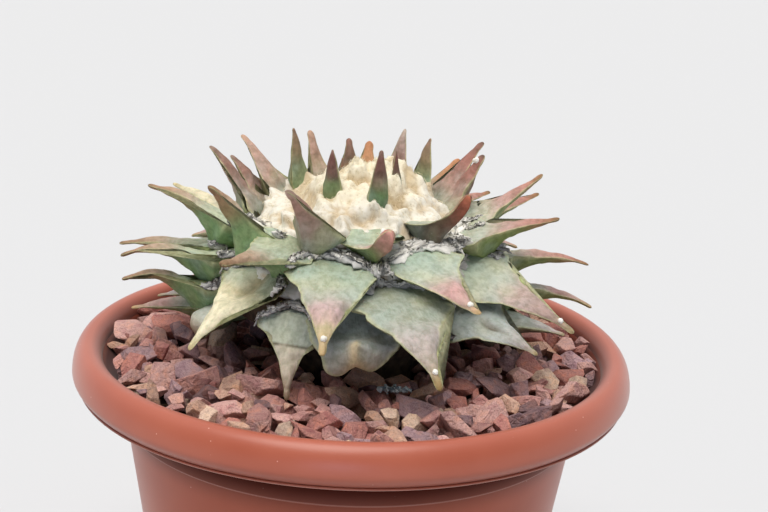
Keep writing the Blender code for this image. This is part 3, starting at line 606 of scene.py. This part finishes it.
seen = {
    "spike": [
        at(-22, "spike"),
        at(-127, "spike", level=19, length=15, width=8),
        at(140, "spike", level=10, length=7, width=4),
    ],
    "inner": [
        at(-72, "spike", width=7, rootRise=84, tipRise=87),
        at(48, "mauve", level=22, length=18, width=8),
        at(150, "olive", level=32, length=20, rootRise=78, tipRise=82),
        at(37, "olive", level=35, rootRise=78),
    ],
    "upright": [
        at(86, "orange", level=38, length=18, width=11, blunt=1.5),
        at(97, "dusk", level=35, length=18, width=10, blunt=1.1),
        at(128, "rosy", level=30, length=18, width=9, rootRise=66, tipRise=68),
        at(-112, "plum", length=27, width=18, rootRise=34, sway=-22, blunt=1.7, roll=-6),
        at(-83.5, "knob", level=38.5, length=24, width=21, rootRise=-26, tipRise=66, hook=0, sway=26,
           taper=-0.2, waist=0.5, blunt=3.2, keel=1.25, fin=1.5, roll=4, areole=1.1),
        at(-43, "ember", level=37.5, length=25, width=20, rootRise=6, tipRise=68, hook=0, waist=0.52,
           blunt=2.4, keel=1.1, fin=1.3, roll=-12),
        at(21, "brick", level=43, rootRise=42, tipRise=60, sway=8, blunt=1.8, areole=1.15),
        at(30, "brick", length=27, blunt=1.4),
        at(41, "orange", length=20, width=11, rootRise=40, tipRise=38),
        at(150, "rosy", level=41, length=26, rootRise=42),
        at(158, "plum", level=47, length=22, rootRise=42),
        at(168, "plum", level=48, length=28),
        at(-149, "fresh", level=50, length=28, width=22, rootRise=33, waist=0.3, blunt=1.6),
    ],
    "shoulder": [
        at(-127, "fresh", level=48, length=35, rootRise=-3, tipRise=2, waist=0.36, blunt=1.5, roll=-15),
        at(-99, "broad", level=55, length=38, width=27, rootRise=-12, tipRise=-51, sway=6, waist=0.04,
           blunt=1.2, keel=0.24, roll=-4, areole=1.0),
        at(-58, "blush", length=36, width=27, rootRise=-18, tipRise=-12, sway=4, waist=0.26, blunt=1.2,
           keel=0.45, roll=8, wool=1.1, areole=0.85),
        at(-11, "coral", width=25, keel=0.8),
        at(12, "coral", rootRise=26, tipRise=34),
        at(24, "coral", level=55),
        at(159, "straw", level=57),
        at(176, "fresh", level=57, length=36, rootRise=28, waist=0.32, arch=6, roll=7),
    ],
    "spread": [
        at(170, "fresh", length=42, rootRise=-4, roll=6),
        at(-173, "fresh", arch=10, roll=9),
        at(-137, "straw", length=35, width=27, rootRise=-22, tipRise=-44, waist=0.26, blunt=1.3, keel=0.5,
           groove=2.8, wool=0.2),
        at(-73, "greyBlush", length=42, width=33, rootRise=-14, tipRise=-42, taper=0.4, sway=13, waist=0.05,
           blunt=1.4, keel=0.24, roll=0, wool=0.9, areole=0.9),
        at(-24, "longPink", level=62, length=41, width=30, rootRise=-22, tipRise=-22, sway=-2, waist=0.3,
           blunt=1.2, keel=0.35, roll=20, areole=0.9),
        at(3, "coral", rootRise=8, tipRise=-14, roll=-5),
        at(18, "blush", level=74, length=34),
    ],
    "low": [
        at(-115, "papery", length=26, width=24, rootRise=-56, tipRise=-76, taper=0.4, sway=32, waist=0.42,
           keel=0.2, wool=0.25, roll=-12),
        at(8, "blush", length=40, tipRise=-26, roll=-5),
        at(-176, "fresh", rootRise=0, tipRise=0, arch=15, roll=9),
        at(-34, "ashen", length=28, width=27, rootRise=-20, tipRise=-20, sway=8, waist=0.2, keel=0.5,
           roll=22, wool=0.3, scar=1),
        at(-89, "slate", level=76, length=22, width=29, rootRise=-38, tipRise=-52, taper=-0.9, waist=0,
           blunt=10, lobes=3.2, keel=0.4, wool=0.2),
    ],
    "lowest": [
        at(-161, "husk", level=84, length=17, width=19, rootRise=-30, tipRise=-76, taper=-0.9, waist=0,
           blunt=7, keel=0.6, wool=0.3),
        at(178, "blush", length=32, rootRise=-8, tipRise=-12),
        at(163, "ashen", length=29),
        at(-3, "ashen"),
    ],
}

# What the camera doesn't see follows the tiers: first and last azimuth, how many, and their looks
rear = [("shoulder", 46, 136, 4, "coral"), ("spread", 38, 146, 5, "blush"), ("low", 30, 144, 5, "fresh"),
        ("lowest", 44, 132, 3, "ashen")]


def planTubercles():
    planned = [(azimuth, look, {**tiers[tier], **own}) for tier, row in seen.items()
               for azimuth, look, own in row]
    draw = random.Random(tubercle["seed"])
    for tier, first, last, count, look in rear:
        for i in range(count):
            turn = first + (last - first) * i / (count - 1)
            turn += draw.uniform(-tubercle["turnJitter"], tubercle["turnJitter"])
            form = dict(tiers[tier])
            form["length"] *= draw.uniform(1 - tubercle["lengthJitter"], 1 + tubercle["lengthJitter"])
            form["rootRise"] -= tubercle["rearDrop"]
            form["tipRise"] -= tubercle["rearDrop"]
            planned.append((turn, look, form))
    return planned


def smoothStep(value, low, high):
    part = min(max((value - low) / (high - low), 0), 1)
    return part * part * (3 - 2 * part)


def riseAt(form, share):
    rise = form["rootRise"] + (form["tipRise"] - form["rootRise"]) * share ** tubercle["riseCurve"]
    rise -= form.get("arch", 0) * cos(tubercle["archTurns"] * tau * share)
    return rise + form["hook"] * max(0, (share - tubercle["hookFrom"]) / (1 - tubercle["hookFrom"]))


def halfWidth(form, share):
    widest = tubercle["widestAt"]
    if share < widest:
        narrow = tubercle["rootWidth"] if form["level"] > tubercle["outerLevel"] else 1
        part = narrow + (1 - narrow) * sin(pi / 2 * share / widest)
    else:
        on = (share - widest) / (1 - widest)
        waist = form["waist"] * sin(pi * on ** tubercle["waistCurve"])
        part = (1 - on) ** (1 + form["taper"]) * (1 - waist)
    closing = tubercle["closing"] * form["blunt"] / form["length"]
    over = max(0, (share - 1 + closing) / closing)
    return max(form["blunt"], form["width"] / 2 * part) * sqrt(max(0, 1 - over ** 2)) * mm


def headingAt(form, turn, share):  # which way a tubercle grows there, and its heading on the ground plan
    rise, heading = radians(riseAt(form, share)), turn + radians(form["sway"]) * share
    return Vector((cos(rise) * cos(heading), cos(rise) * sin(heading),
                   sin(rise))), heading


def growthLine(azimuth, form, rows):  # share, place, forward, side, up and half width, root first
    turn = radians(azimuth)
    inward = -polar(radians(form["level"]), turn)
    place = Vector((0, 0, dome["midZ"])) - Vector((inward.x * dome["radius"], inward.y * dome["radius"],
                                                  inward.z * dome["height"]))
    roll = radians(form.get("roll", tubercle["lean"] * cos(turn)))
    line, before = [], 0
    for row in range(rows + 1):
        share = 1 - (1 - row / rows) ** tubercle["rowCrowding"]
        ahead, heading = headingAt(form, turn, (share + before) / 2)
        place = place + ahead * (form["length"] * mm * (share - before))
        forward, heading = headingAt(form, turn, share)
        side = Matrix.Rotation(roll, 3, forward) @ Vector((-sin(heading), cos(heading), 0))
        line.append((share, place, forward, side, forward.cross(side), halfWidth(form, share)))
        before = share
    share, place, forward, side, up, width = line[0]
    sink = inward * tubercle["sinkInward"] - forward * tubercle["sinkBack"]
    sink = sink.normalized() * tubercle["rootSink"]
    for i in range(1, tubercle["sunkRows"] + 1):
        part = i / tubercle["sunkRows"]
        narrowed = width * (1 - tubercle["sunkNarrowing"] * part)
        line.insert(0, (0, place + sink * part, forward, side, up, narrowed))
    return line


def crestAt(share):
    beak = smoothStep(share, tubercle["beakFrom"], tubercle["beakTo"])
    return tubercle["crestRise"] + tubercle["beakRise"] * beak


def keelAt(share):
    return tubercle["keelDepth"] - tubercle["keelLoss"] * share


def linearStops(stops):
    return [(share, toLinear(tint)) for share, tint in stops]


def blend(first, second, part):
    return [a + (b - a) * part for a, b in zip(first, second)]


def colourAt(stops, share):
    share = min(max(share, stops[0][0]), stops[-1][0])
    for (low, before), (high, after) in zip(stops, stops[1:]):
        if share <= high:
            return blend(before, after, (share - low) / (high - low))


def bumpsAt(spot, along, sideways, drift):  # lumps, dimples and fine pleats across the growth
    pleat = Vector((along / tubercle["pleat"][0], sideways / tubercle["pleat"][1], 3))
    return (wave(spot, tubercle["lump"], drift) + wave(spot, tubercle["dimple"], drift)
            + wave(pleat, (1, tubercle["pleatHeight"]), drift))


groove = dict(width=0.3, begins=(-0.1, 0.1), ends=(0.2, 0.46), stain=0.75)
scar = dict(across=-0.1, width=0.16, share=0.42, length=0.13, depth=0.7 * mm, stain=0.9)


def markedTop(form, share, across, lift, tint):  # a groove down the middle, or an old scar
    if form.get("groove"):
        part = exp(-(across / groove["width"]) ** 2)
        part *= (1 - smoothStep(share, *groove["ends"])) * smoothStep(share, *groove["begins"])
        lift -= form["groove"] * mm * part
        tint = blend(tint, skinTints["groove"], groove["stain"] * part)
    if form.get("scar"):
        part = exp(-((across - scar["across"]) / scar["width"]) ** 2
                   - ((share - scar["share"]) / scar["length"]) ** 2)
        lift -= scar["depth"] * part
        tint = blend(tint, skinTints["scar"], scar["stain"] * part)
    return lift, tint


# Across and back in mm
lobe = dict(ends=(0.4, 1), notchWidth=3.8, notchBack=3.4, skew=0.2, ridgeAcross=-0.6, ridgeWidth=1.4,
        ridgeHeight=2.4, ridgeShares=(0.5, 0.75), stain=0.9)


def shrunken(form, share, lateral, lift, tint):  # two sagging lobes beside a short dry ridge
    end = smoothStep(share, *lobe["ends"])
    notch = exp(-(lateral / lobe["notchWidth"]) ** 2) * end
    ridge = exp(-((lateral - lobe["ridgeAcross"]) / lobe["ridgeWidth"]) ** 2)
    ridge *= smoothStep(share, *lobe["ridgeShares"])
    lift += (lobe["ridgeHeight"] * ridge - form["lobes"] * end * (1 - notch)) * mm
    back = (lobe["notchBack"] * notch + lobe["skew"] * lateral * end) * mm
    return back, lift, blend(tint, skinTints["driedRidge"], lobe["stain"] * ridge)


skinTints = {name: toLinear(tubercle[name]) for name in
             ("marginColour", "yellowPatch", "bluePatch", "groove", "scar", "driedRidge")}


def growTubercle(shape, layers, azimuth, look, form, number):
    rows = max(tubercle["leastRows"], round(form["length"] * mm / tubercle["rowLength"]))
    line = growthLine(azimuth, form, rows)
    rows += tubercle["sunkRows"]
    around = tubercle["around" if form["width"] > tubercle["narrow"] else "narrowAround"]
    drift = Vector([number * step for step in tubercle["drift"]])
    brightness = 1 + 0.05 * sin(number * 2.4)
    top, under = [linearStops(stops) for stops in looks[look]]
    sheet = bmesh.ops.create_grid(shape, x_segments=around, y_segments=rows, size=0.5)
    for vertex in sheet["verts"]:
        turnShare, row = vertex.co.x + 0.5, round((vertex.co.y + 0.5) * rows)
        share, place, forward, side, up, width = line[row]
        onTop = turnShare <= 0.5
        across = sin((1 - 4 * turnShare if onTop else 4 * turnShare - 3) * pi / 2)
        edge, rim = abs(across), 5.0 if across > 0 else -5.0
        along = share * form["length"] * mm
        calm = min(1, width / tubercle["calmWidth"])
        swings = [noise.noise(Vector((along / tubercle["marginLength"] * pace, rim, lane)) + drift)
                  for pace, lane in ((1, 0), (1.3, 7), (3.1, 11))]
        width *= 1 + tubercle["swell"] * (swings[1] + 0.5 * swings[2]) * edge * calm
        if onTop:
            height = width * crestAt(share) * (1 - edge ** tubercle["crestCurve"])
        else:
            height = -width * form.get("keel", keelAt(share)) * (1 - edge) ** form.get("fin", tubercle["fin"])
        spot = place + side * across * width + up * height
        lift = bumpsAt(spot, along, across * width, drift) * calm * (1 - 0.5 * edge ** 4)
        lift = (lift if onTop else -lift) + swings[0] * tubercle["marginWave"] * edge ** 3 * calm
        stray = wave(spot, tubercle["stray"], drift) + wave(spot, tubercle["fineStray"])
        tint = colourAt(top if onTop else under, share + stray)
        patch = wave(spot, tubercle["patch"], drift * 2) * (1 - smoothStep(share, *tubercle["greenTo"]))
        tint = blend(tint, skinTints["yellowPatch" if patch > 0 else "bluePatch"],
                     min(tubercle["patchMost"], abs(patch) * tubercle["patchStrength"]))
        if onTop:
            lift, tint = markedTop(form, share, across, lift, tint)
        if form.get("lobes"):
            drawnBack, lift, tint = shrunken(form, share, across * width / mm, lift, tint)
            spot -= forward * drawnBack
        spot += up * lift
        if edge > tubercle["marginFrom"]:  # the margin is thin and dry, so paler
            tint = blend(tint, skinTints["marginColour"],
                         tubercle["marginStrength"] * smoothStep(edge, tubercle["marginFrom"], 0.98))
        vertex[layers["skinColour"]] = toned(tint, brightness * (1 + wave(spot, tubercle["cloud"], drift)))
        vertex[layers["skinFlow"]] = (across * width / mm, along / mm, number * 10 + (0 if onTop else 50))
        vertex.co = spot


def closeSheets(shape):  # rolled sheets: join their seams and points, and close their open ends
    bmesh.ops.remove_doubles(shape, verts=shape.verts, dist=0.002 * mm)
    bmesh.ops.holes_fill(shape, edges=[edge for edge in shape.edges if edge.is_boundary], sides=0)
    bmesh.ops.recalc_face_normals(shape, faces=shape.faces)


def cactusSkin():  # waxy epidermis: matt, powdery, finely wrinkled along the growth
    skin = newMaterial("waxy cactus epidermis", {
        "Roughness": 0.58, "IOR": 1.42, "Subsurface Weight": 0.06, "Subsurface Scale": 1.5 * mm})
    place = objectPlace(skin)
    flow = addNode(skin, "ShaderNodeMapping", 0,
                   {"Vector": carried(skin, "skinFlow", "Vector"), "Scale": (1.6, 0.5, 1)})
    streaks = noiseNode(skin, flow, 1.25, 4)  # skinFlow counts in millimetres
    mottle = noiseNode(skin, place, 2.2 * mm, 7, 0.6)
    tone = rampNode(skin, mottle, [(0.38, "#cdd1c5"), (0.58, "#ffffff")])
    streakTone = rampNode(skin, streaks, [(0.35, "#d9d9d0"), (0.6, "#ffffff")])
    mottled = mixNode(skin, 0.7, carried(skin, "skinColour"), tone, "MULTIPLY")
    streaked = mixNode(skin, 0.3, mottled, streakTone, "MULTIPLY")
    dots = rampNode(skin, cellNode(skin, place, 1.7 * mm), [(0.06, "#5a5a5a"), (0.13, "#000000")])
    return dress(skin, mixNode(skin, dots, streaked, toLinear("#e6e4d8")),
                 bumpNode(skin, mottle, 0.85, 0.6 * mm, bumpNode(skin, streaks, 0.8, 0.4 * mm)))


def corkyBarkAndShade():  # old stem tissue: brown, dry and cracked, and coloured darker still as painted shade where the stem shows under the tubercles
    barkAndShade = newMaterial("corky stem tissue in painted shade", {"Roughness": 0.92, "IOR": 1.4})
    cracks = noiseNode(barkAndShade, objectPlace(barkAndShade), 3 * mm, 6)
    return dress(barkAndShade, rampNode(barkAndShade, cracks, [(0.3, "#1d1712"), (0.55, "#4a3d2e"), (0.8, "#6b5b45")]),
                 bumpNode(barkAndShade, cracks, 0.8, 0.8 * mm))


def makeStem():
    width, neck = dome["radius"] - dome["stemSink"], dome["rootNeckRadius"]
    tipZ, neckZ, midZ = dome["rootTipZ"], dome["rootNeckZ"], dome["midZ"]
    profile = [(0, tipZ - dome["rootTipLength"])]
    for i in range(dome["rootRows"] + 1):
        share = i / dome["rootRows"]
        swell = sin(share * pi / 2) ** 0.8
        profile.append((dome["rootTipRadius"] + (neck - dome["rootTipRadius"]) * swell,
                        tipZ + (neckZ - tipZ) * share))
    for i in range(1, dome["shoulderRows"]):
        angle = radians(90 * i / dome["shoulderRows"])
        profile.append((neck + (width - neck) * (1 - cos(angle)), neckZ + (midZ - neckZ) * sin(angle)))
    for i in range(dome["stemRows"]):
        angle = radians(90 * (1 - i / dome["stemRows"]))
        profile.append((width * sin(angle), midZ + dome["stemHeight"] * cos(angle)))
    profile.append((0, midZ + dome["stemHeight"]))
    finishPiece(spun(profile, dome["stemSteps"]), "stem_and_root", corkyBarkAndShade(), "cactus")


def makeTubercles(planned):
    skin = cactusSkin()
    groups = {"tubercles_crown": (0, 45), "tubercles_shoulder": (45, 60), "tubercles_low": (60, 99)}
    for name, (fromLevel, toLevel) in groups.items():
        shape = bmesh.new()
        layers = {"skinColour": shape.verts.layers.float_color.new("skinColour"),
                  "skinFlow": shape.verts.layers.float_vector.new("skinFlow")}
        for number, (azimuth, look, form) in enumerate(planned):
            if fromLevel <= form["level"] < toLevel:
                growTubercle(shape, layers, azimuth, look, form, number)
        closeSheets(shape)
        finishPiece(shape, name, skin, "cactus")


planned = planTubercles()
makeStem()
makeTubercles(planned)


# Areoles: a white woolly dot just short of each tip

areole = dict(share=0.87, tuft=(0.5 * mm, 0.35))
matted = {"Roughness": 1.0, "IOR": 1.3, "Sheen Weight": 0.2, "Sheen Roughness": 0.6}


def plantWool(name, pale, deep, fleck, grain=None):  # matted plant hair: no gloss, soft sheen, dusty hollows
    wool = newMaterial(name, matted)
    place = carried(wool, grain, "Vector") if grain else objectPlace(wool)
    tufts = noiseNode(wool, place, 2.2 * mm, 6, 0.65)
    return dress(wool, rampNode(wool, tufts, [(0.32, fleck), (0.46, deep), (0.62, pale)]),
                 bumpNode(wool, noiseNode(wool, place, 0.45 * mm, 4), 0.7, 0.35 * mm))


def makeAreoles(planned):
    shape = bmesh.new()
    for azimuth, look, form in planned:
        if not form.get("areole"):
            continue
        line = growthLine(azimuth, form, 60)[tubercle["sunkRows"]:]
        share, place, forward, side, up, width = min(line, key=lambda row: abs(row[0] - areole["share"]))
        spot = place + up * width * crestAt(share)
        ball = bmesh.ops.create_icosphere(shape, subdivisions=2, radius=form["areole"] * mm,
                                          matrix=Matrix.Translation(spot))
        for vertex in ball["verts"]:
            vertex.co += (vertex.co - spot) * wave(vertex.co, areole["tuft"])
    finishPiece(shape, "areole_tufts", plantWool("areole wool", "#fbf9f2", "#efebe0", "#cfc6b4"),
                "cactus")


makeAreoles(planned)


# Wool: the crown cushion and its loose hairs, and old grey wool in the axils

crown = dict(
    cushion=5.5 * mm, cushionLevel=34, edgeLevel=74, felt=0.7 * mm, lump=1.3 * mm,
    feltFrom=34, feltTo=46, warp=1.6 * mm, warpLength=3.5 * mm,
    clumpSize=8.5 * mm, clumpRise=5 * mm, clumpMiddle=0.62, calm=0.5,
    tuftSize=3 * mm, tuftRise=1.3 * mm, tuftMiddle=0.6, curl=(0.9 * mm, 0.3 * mm),
    swell=(5 * mm, 0.9 * mm),
    heapTurn=35, heapLevel=22, heapWidth=6.5 * mm, heapRise=6.5 * mm,
    collarRise=2.1 * mm, collarWidth=1.8 * mm, collarLevel=51, collarWave=(2.5 * mm, 0.9),
    hairs=900, hairWidth=0.06 * mm, hairSteps=5, hairStep=0.012, hairBend=0.35, seed=8,
    # the crease colour and its strength are painted shade in the creases between the clumps
    young="#f6eed9", grown="#efebe1", old="#c6c5c1", creaseShade="#c4a97c",
    stray=(9 * mm, 7), grownLevels=(22, 33), oldLevels=(44, 58), creaseDepths=(0.2, 0.6),
    creaseShadeStrength=0.7, clumpShare=0.6, skirtWidth=0.8, skirtHeight=0.7, skirtFoot=0.02,
    collarLeast=0.7, collarFar=3, hairLevels=(2, 50), hairRise=(0.25 * mm, 0.35 * mm),
    hairWave=0.8, hairTaper=0.6,
)


def collarRings(planned):  # the wool wells up round each young tubercle's root
    return [growthLine(azimuth, form, 16)[tubercle["sunkRows"]][1::4] for azimuth, look, form in planned
            if form["level"] < crown["collarLevel"]]


collars = collarRings(planned)


def clot(spot, size):  # 1 in the middle of a clot, 0 at its edge
    return 1 - min(1, noise.voronoi(spot / size)[0][0] / 0.75) ** 2


def crownSurface(direction):  # a place on the woolly cap and how far it stands out of the creases
    level, azimuth = degrees(acos(max(-1, min(1, direction.z)))), atan2(direction.y, direction.x)
    if level > crown["edgeLevel"]:
        width, height = crown["skirtWidth"] * dome["radius"], crown["skirtHeight"] * dome["stemHeight"]
        return Vector((direction.x * width, direction.y * width,
                       dome["midZ"] + max(crown["skirtFoot"], direction.z) * height)), 0
    cushion = cos(pi / 2 * min(1, level / crown["cushionLevel"])) ** 2
    felted = smoothStep(level, crown["feltFrom"], crown["feltTo"])
    lump = sin(3 * azimuth + 0.8) * sin(level * 0.26) + 0.5 * sin(7 * azimuth - level * 0.3)
    lump = lump * crown["lump"] * (1 - felted) + crown["felt"] * felted
    spot = Vector((direction.x * (dome["radius"] + lump), direction.y * (dome["radius"] + lump),
                   dome["midZ"] + direction.z * (dome["height"] + lump) + crown["cushion"] * cushion))
    bent = spot + noise.noise_vector(spot / crown["warpLength"]) * crown["warp"]
    clump, tuft = clot(bent, crown["clumpSize"]), clot(bent, crown["tuftSize"])
    calm = crown["calm"] + (1 - crown["calm"]) * cushion
    rise = crown["clumpRise"] * (clump - crown["clumpMiddle"]) * calm
    rise += crown["tuftRise"] * (tuft - crown["tuftMiddle"]) * calm
    rise += wave(spot, crown["curl"]) + wave(spot, crown["swell"]) * (1 - cushion)
    for root, reach in collars:
        ring = ((spot - root).length - reach) / crown["collarWidth"]
        if abs(ring) < crown["collarFar"]:
            swell = crown["collarLeast"] + wave(spot, crown["collarWave"])
            rise += crown["collarRise"] * exp(-ring ** 2) * swell
    heap = polar(radians(crown["heapLevel"]), radians(crown["heapTurn"]))
    rise += crown["heapRise"] * exp(-((direction - heap).length * dome["radius"] / crown["heapWidth"]) ** 2)
    return spot + direction * rise, blend([tuft], [clump], crown["clumpShare"])[0]


def crownWool():  # matted young wool, coloured by its age, with painted shade in its creases
    wool = newMaterial("young crown wool", matted)
    crumbs = noiseNode(wool, objectPlace(wool), 1.3 * mm, 6, 0.7)
    tone = rampNode(wool, crumbs, [(0.32, "#c3b9a6"), (0.46, "#f6f3ea"), (0.7, "#ffffff")])
    return dress(wool, mixNode(wool, 0.8, carried(wool, "woolColour"), tone, "MULTIPLY"),
                 bumpNode(wool, crumbs, 0.8, 0.5 * mm))


def makeCrownWool():
    shape = bmesh.new()
    layer = shape.verts.layers.float_color.new("woolColour")
    bmesh.ops.create_icosphere(shape, subdivisions=7, radius=1)
    tints = {name: toLinear(crown[name]) for name in ("young", "grown", "old", "creaseShade")}
    for vertex in shape.verts:
        direction = vertex.co.normalized()
        level = degrees(acos(max(-1, min(1, direction.z))))
        vertex.co, height = crownSurface(direction)
        level += wave(vertex.co, crown["stray"])
        tint = blend(tints["young"], tints["grown"], smoothStep(level, *crown["grownLevels"]))
        tint = blend(tint, tints["old"], smoothStep(level, *crown["oldLevels"]))
        # painted shade: the low creases between the clumps turn tan
        creaseShade = crown["creaseShadeStrength"] * (1 - smoothStep(height, *crown["creaseDepths"]))
        vertex[layer] = blend(tint, tints["creaseShade"], creaseShade)
    finishPiece(shape, "crown_wool_mat", crownWool(), "crown_wool")


def makeHairs(name, paths, width, material):
    strands = bpy.data.curves.new(name, "CURVE")
    strands.dimensions = "3D"
    strands.bevel_depth = width
    strands.bevel_resolution = 0
    strands.use_fill_caps = True
    for path in paths:
        spline = strands.splines.new("POLY")
        spline.points.add(len(path) - 1)
        for i, (point, spot) in enumerate(zip(spline.points, path)):
            point.co = (*spot, 1)
            point.radius = 1 - crown["hairTaper"] * abs(2 * i / (len(path) - 1) - 1) ** 2
    loose = addObject(name + "_line", strands)
    mesh = bpy.data.meshes.new_from_object(loose.evaluated_get(bpy.context.evaluated_depsgraph_get()))
    bpy.data.objects.remove(loose)
    shape = bmesh.new()
    shape.from_mesh(mesh)
    bpy.data.meshes.remove(mesh)
    bmesh.ops.remove_doubles(shape, verts=shape.verts, dist=0.0005 * mm)
    finishPiece(shape, name, material, "crown_wool")


def makeCrownHairs():
    draw = random.Random(crown["seed"])
    low, more = crown["hairRise"]
    paths = []
    for i in range(crown["hairs"]):
        level = radians(draw.uniform(*crown["hairLevels"]))
        turn = draw.uniform(0, tau)
        heading = scatter(draw, 1).normalized()
        spot, path = polar(level, turn), []
        for j in range(crown["hairSteps"]):
            path.append(crownSurface(spot)[0] + spot * (low + more * sin(j * crown["hairWave"])))
            heading = (heading + scatter(draw, crown["hairBend"])).normalized()
            spot = (spot + heading * crown["hairStep"]).normalized()
        paths.append(path)
    makeHairs("crown_wool_hairs", paths, crown["hairWidth"],
              plantWool("loose crown hair", "#f8f0da", "#eadfbe", "#d3c39b"))


axil = dict(
    seed=17, strands=14, strandWidth=0.1 * mm, shreds=46, shredWidth=(0.6 * mm, 1.9 * mm),
    shredDepth=0.16 * mm, points=7, reach=84, sweep=(12, 46), spread=2.2 * mm,
    jitter=0.22 * mm, stray=1.5 * mm, straySize=5 * mm, grain=(5, 0.7),
    ageLevels=(44, 66), oldest=0.65, greyShare=0.75, wool=0.8, leastWool=0.26,
    padAround=20, padAlong=70, padReach=92, padWidth=2.8 * mm, padHeight=1.0 * mm,
    padLevels=(46, 60), padCalm=0.3, swell=(4.5 * mm, 1.7), fineSwell=(1.4 * mm, 0.5),
    warp=0.8 * mm, warpLength=2 * mm, clotSize=2.8 * mm, clotRise=1.0 * mm,
    fuzz=(0.9 * mm, 0.6 * mm), leastSwell=0.3, padEnds=6, padGrain=15,
    arcRows=7, arcWidth=0.98, arcDepth=1.8 * mm, arcLift=0.2 * mm, arcSlope=0.05,
    threadRise=(0.75, 0.6), archWidth=1.1, shredTwist=0.3, shredEnd=0.25, moreThreads=0.2,
    tints=dict(white=("#f4f1e9", "#e2dfd7", "#bcb7ad"), grey=("#c2c1be", "#a5a3a0", "#807d79"),
               dark=("#8f8b85", "#736f6a", "#4f4b47")),
)


def axilLine(line, angle):  # the arc where a tubercle's upper face comes out of the wool
    share, place, forward, side, up, width = line[round(axil["arcRows"] * (1 - cos(angle)))]
    reach = line[axil["arcRows"]][5] * axil["arcWidth"]
    spot = place + side * sin(angle) * reach - forward * (axil["arcDepth"] * cos(angle) ** 2)
    spot += up * (axil["arcLift"] + axil["arcSlope"] * reach)
    return spot + noise.noise_vector(spot / axil["straySize"]) * axil["stray"], forward, up


def growPath(draw, line, share):  # a loose thread's way along the axil
    middle, sweep = draw.uniform(-axil["reach"], axil["reach"]), draw.uniform(*axil["sweep"])
    off, high = draw.uniform(-1, 1) * axil["spread"] * share, draw.uniform(0, 1)
    arch = sqrt(max(0, 1 - (off / (axil["spread"] * axil["archWidth"])) ** 2))
    lift = axil["padHeight"] * arch * (axil["threadRise"][0] + axil["threadRise"][1] * high)
    path = []
    for j in range(axil["points"]):
        angle = radians(middle + sweep * (j / (axil["points"] - 1) - 0.5))
        spot, forward, up = axilLine(line, angle)
        path.append(spot - forward * off + up * lift + scatter(draw, axil["jitter"]))
    return path


def growShred(shape, grain, path, width, draw):  # a torn flat strip of felt along a path
    strip = bmesh.ops.create_grid(shape, x_segments=4, y_segments=len(path) - 1, size=0.5)
    lie, drift = draw.uniform(0, pi), draw.uniform(0, 50)
    for vertex in strip["verts"]:
        turn, row = vertex.co.x * tau, round((vertex.co.y + 0.5) * (len(path) - 1))
        ahead = (path[min(row + 1, len(path) - 1)] - path[max(row - 1, 0)]).normalized()
        flat = ahead.orthogonal().normalized()
        flat.rotate(Matrix.Rotation(lie + row * axil["shredTwist"], 3, ahead))
        part = axil["shredEnd"] + (1 - axil["shredEnd"]) * sin(pi * (row + 0.3) / (len(path) - 0.4))
        across = cos(turn) * width
        vertex.co = path[row] + flat * (across * part) + ahead.cross(flat) * (sin(turn) * axil["shredDepth"])
        vertex[grain] = Vector((row / axil["grain"][0], across / mm / axil["grain"][1], drift)) * mm


def growPad(shape, grain, drift, line, share, level):  # the matted roll that fills the axil
    roll = bmesh.ops.create_grid(shape, x_segments=axil["padAround"], y_segments=axil["padAlong"], size=0.5)
    calm = axil["padCalm"] + (1 - axil["padCalm"]) * smoothStep(level, *axil["padLevels"])
    for vertex in roll["verts"]:
        turn, part = vertex.co.x * tau, 2 * vertex.co.y
        spot, forward, up = axilLine(line, radians(part * axil["padReach"]))
        thin = sqrt(max(0, 1 - abs(part) ** axil["padEnds"]))
        swell = 1 + wave(spot, axil["swell"], forward * 3) + wave(spot, axil["fineSwell"])
        swell = share * max(axil["leastSwell"], swell)
        low = min(1, swell)
        out = forward * cos(turn) * axil["padWidth"] * swell + up * sin(turn) * axil["padHeight"] * low
        spot += out * thin
        bent = spot + noise.noise_vector(spot / axil["warpLength"]) * axil["warp"]
        rise = axil["clotRise"] * (clot(bent, axil["clotSize"]) - 0.5)
        rise = (rise + wave(spot, axil["fuzz"])) * calm
        vertex.co = spot + out.normalized() * rise * thin * low
        vertex[grain] = Vector((part * axil["padGrain"] / axil["grain"][0], (1 + turn) / axil["grain"][1],
                                drift)) * mm


def makeAxilWool(planned):
    draw = random.Random(axil["seed"])
    families = {kind: [] for kind in axil["tints"]}
    felts = {kind: bmesh.new() for kind in axil["tints"]}
    grains = {kind: felts[kind].verts.layers.float_vector.new("woolGrain") for kind in felts}
    threads = axil["strands"] + axil["shreds"]
    for azimuth, look, form in planned:
        if form["level"] < crown["collarLevel"] - 1:
            continue
        line = growthLine(azimuth, form, 48)[tubercle["sunkRows"]:]
        age = axil["oldest"] * smoothStep(form["level"], *axil["ageLevels"])
        share = form.get("wool", axil["wool"])
        for i in range(round(threads * min(1, share + axil["moreThreads"]))):
            path = growPath(draw, line, share)
            kind = "white" if draw.random() > age else "grey" if draw.random() < axil["greyShare"] else "dark"
            if draw.random() * threads < axil["strands"]:
                families[kind].append(path)
            else:
                growShred(felts[kind], grains[kind], path, draw.uniform(*axil["shredWidth"]), draw)
        if share >= axil["leastWool"]:
            kind = "grey" if draw.random() < age else "white"
            growPad(felts[kind], grains[kind], draw.uniform(0, 50), line, share, form["level"])
    for kind, shape in felts.items():
        closeSheets(shape)
        felt = plantWool(kind + " axil felt", *axil["tints"][kind], "woolGrain")
        finishPiece(shape, "axil_felt_" + kind, felt, "crown_wool")
    for kind, paths in families.items():
        makeHairs("axil_wool_" + kind, paths, axil["strandWidth"],
                  plantWool(kind + " axil wool", *axil["tints"][kind]))


makeCrownWool()
makeCrownHairs()
makeAxilWool(planned)


bpy.context.view_layer.update()
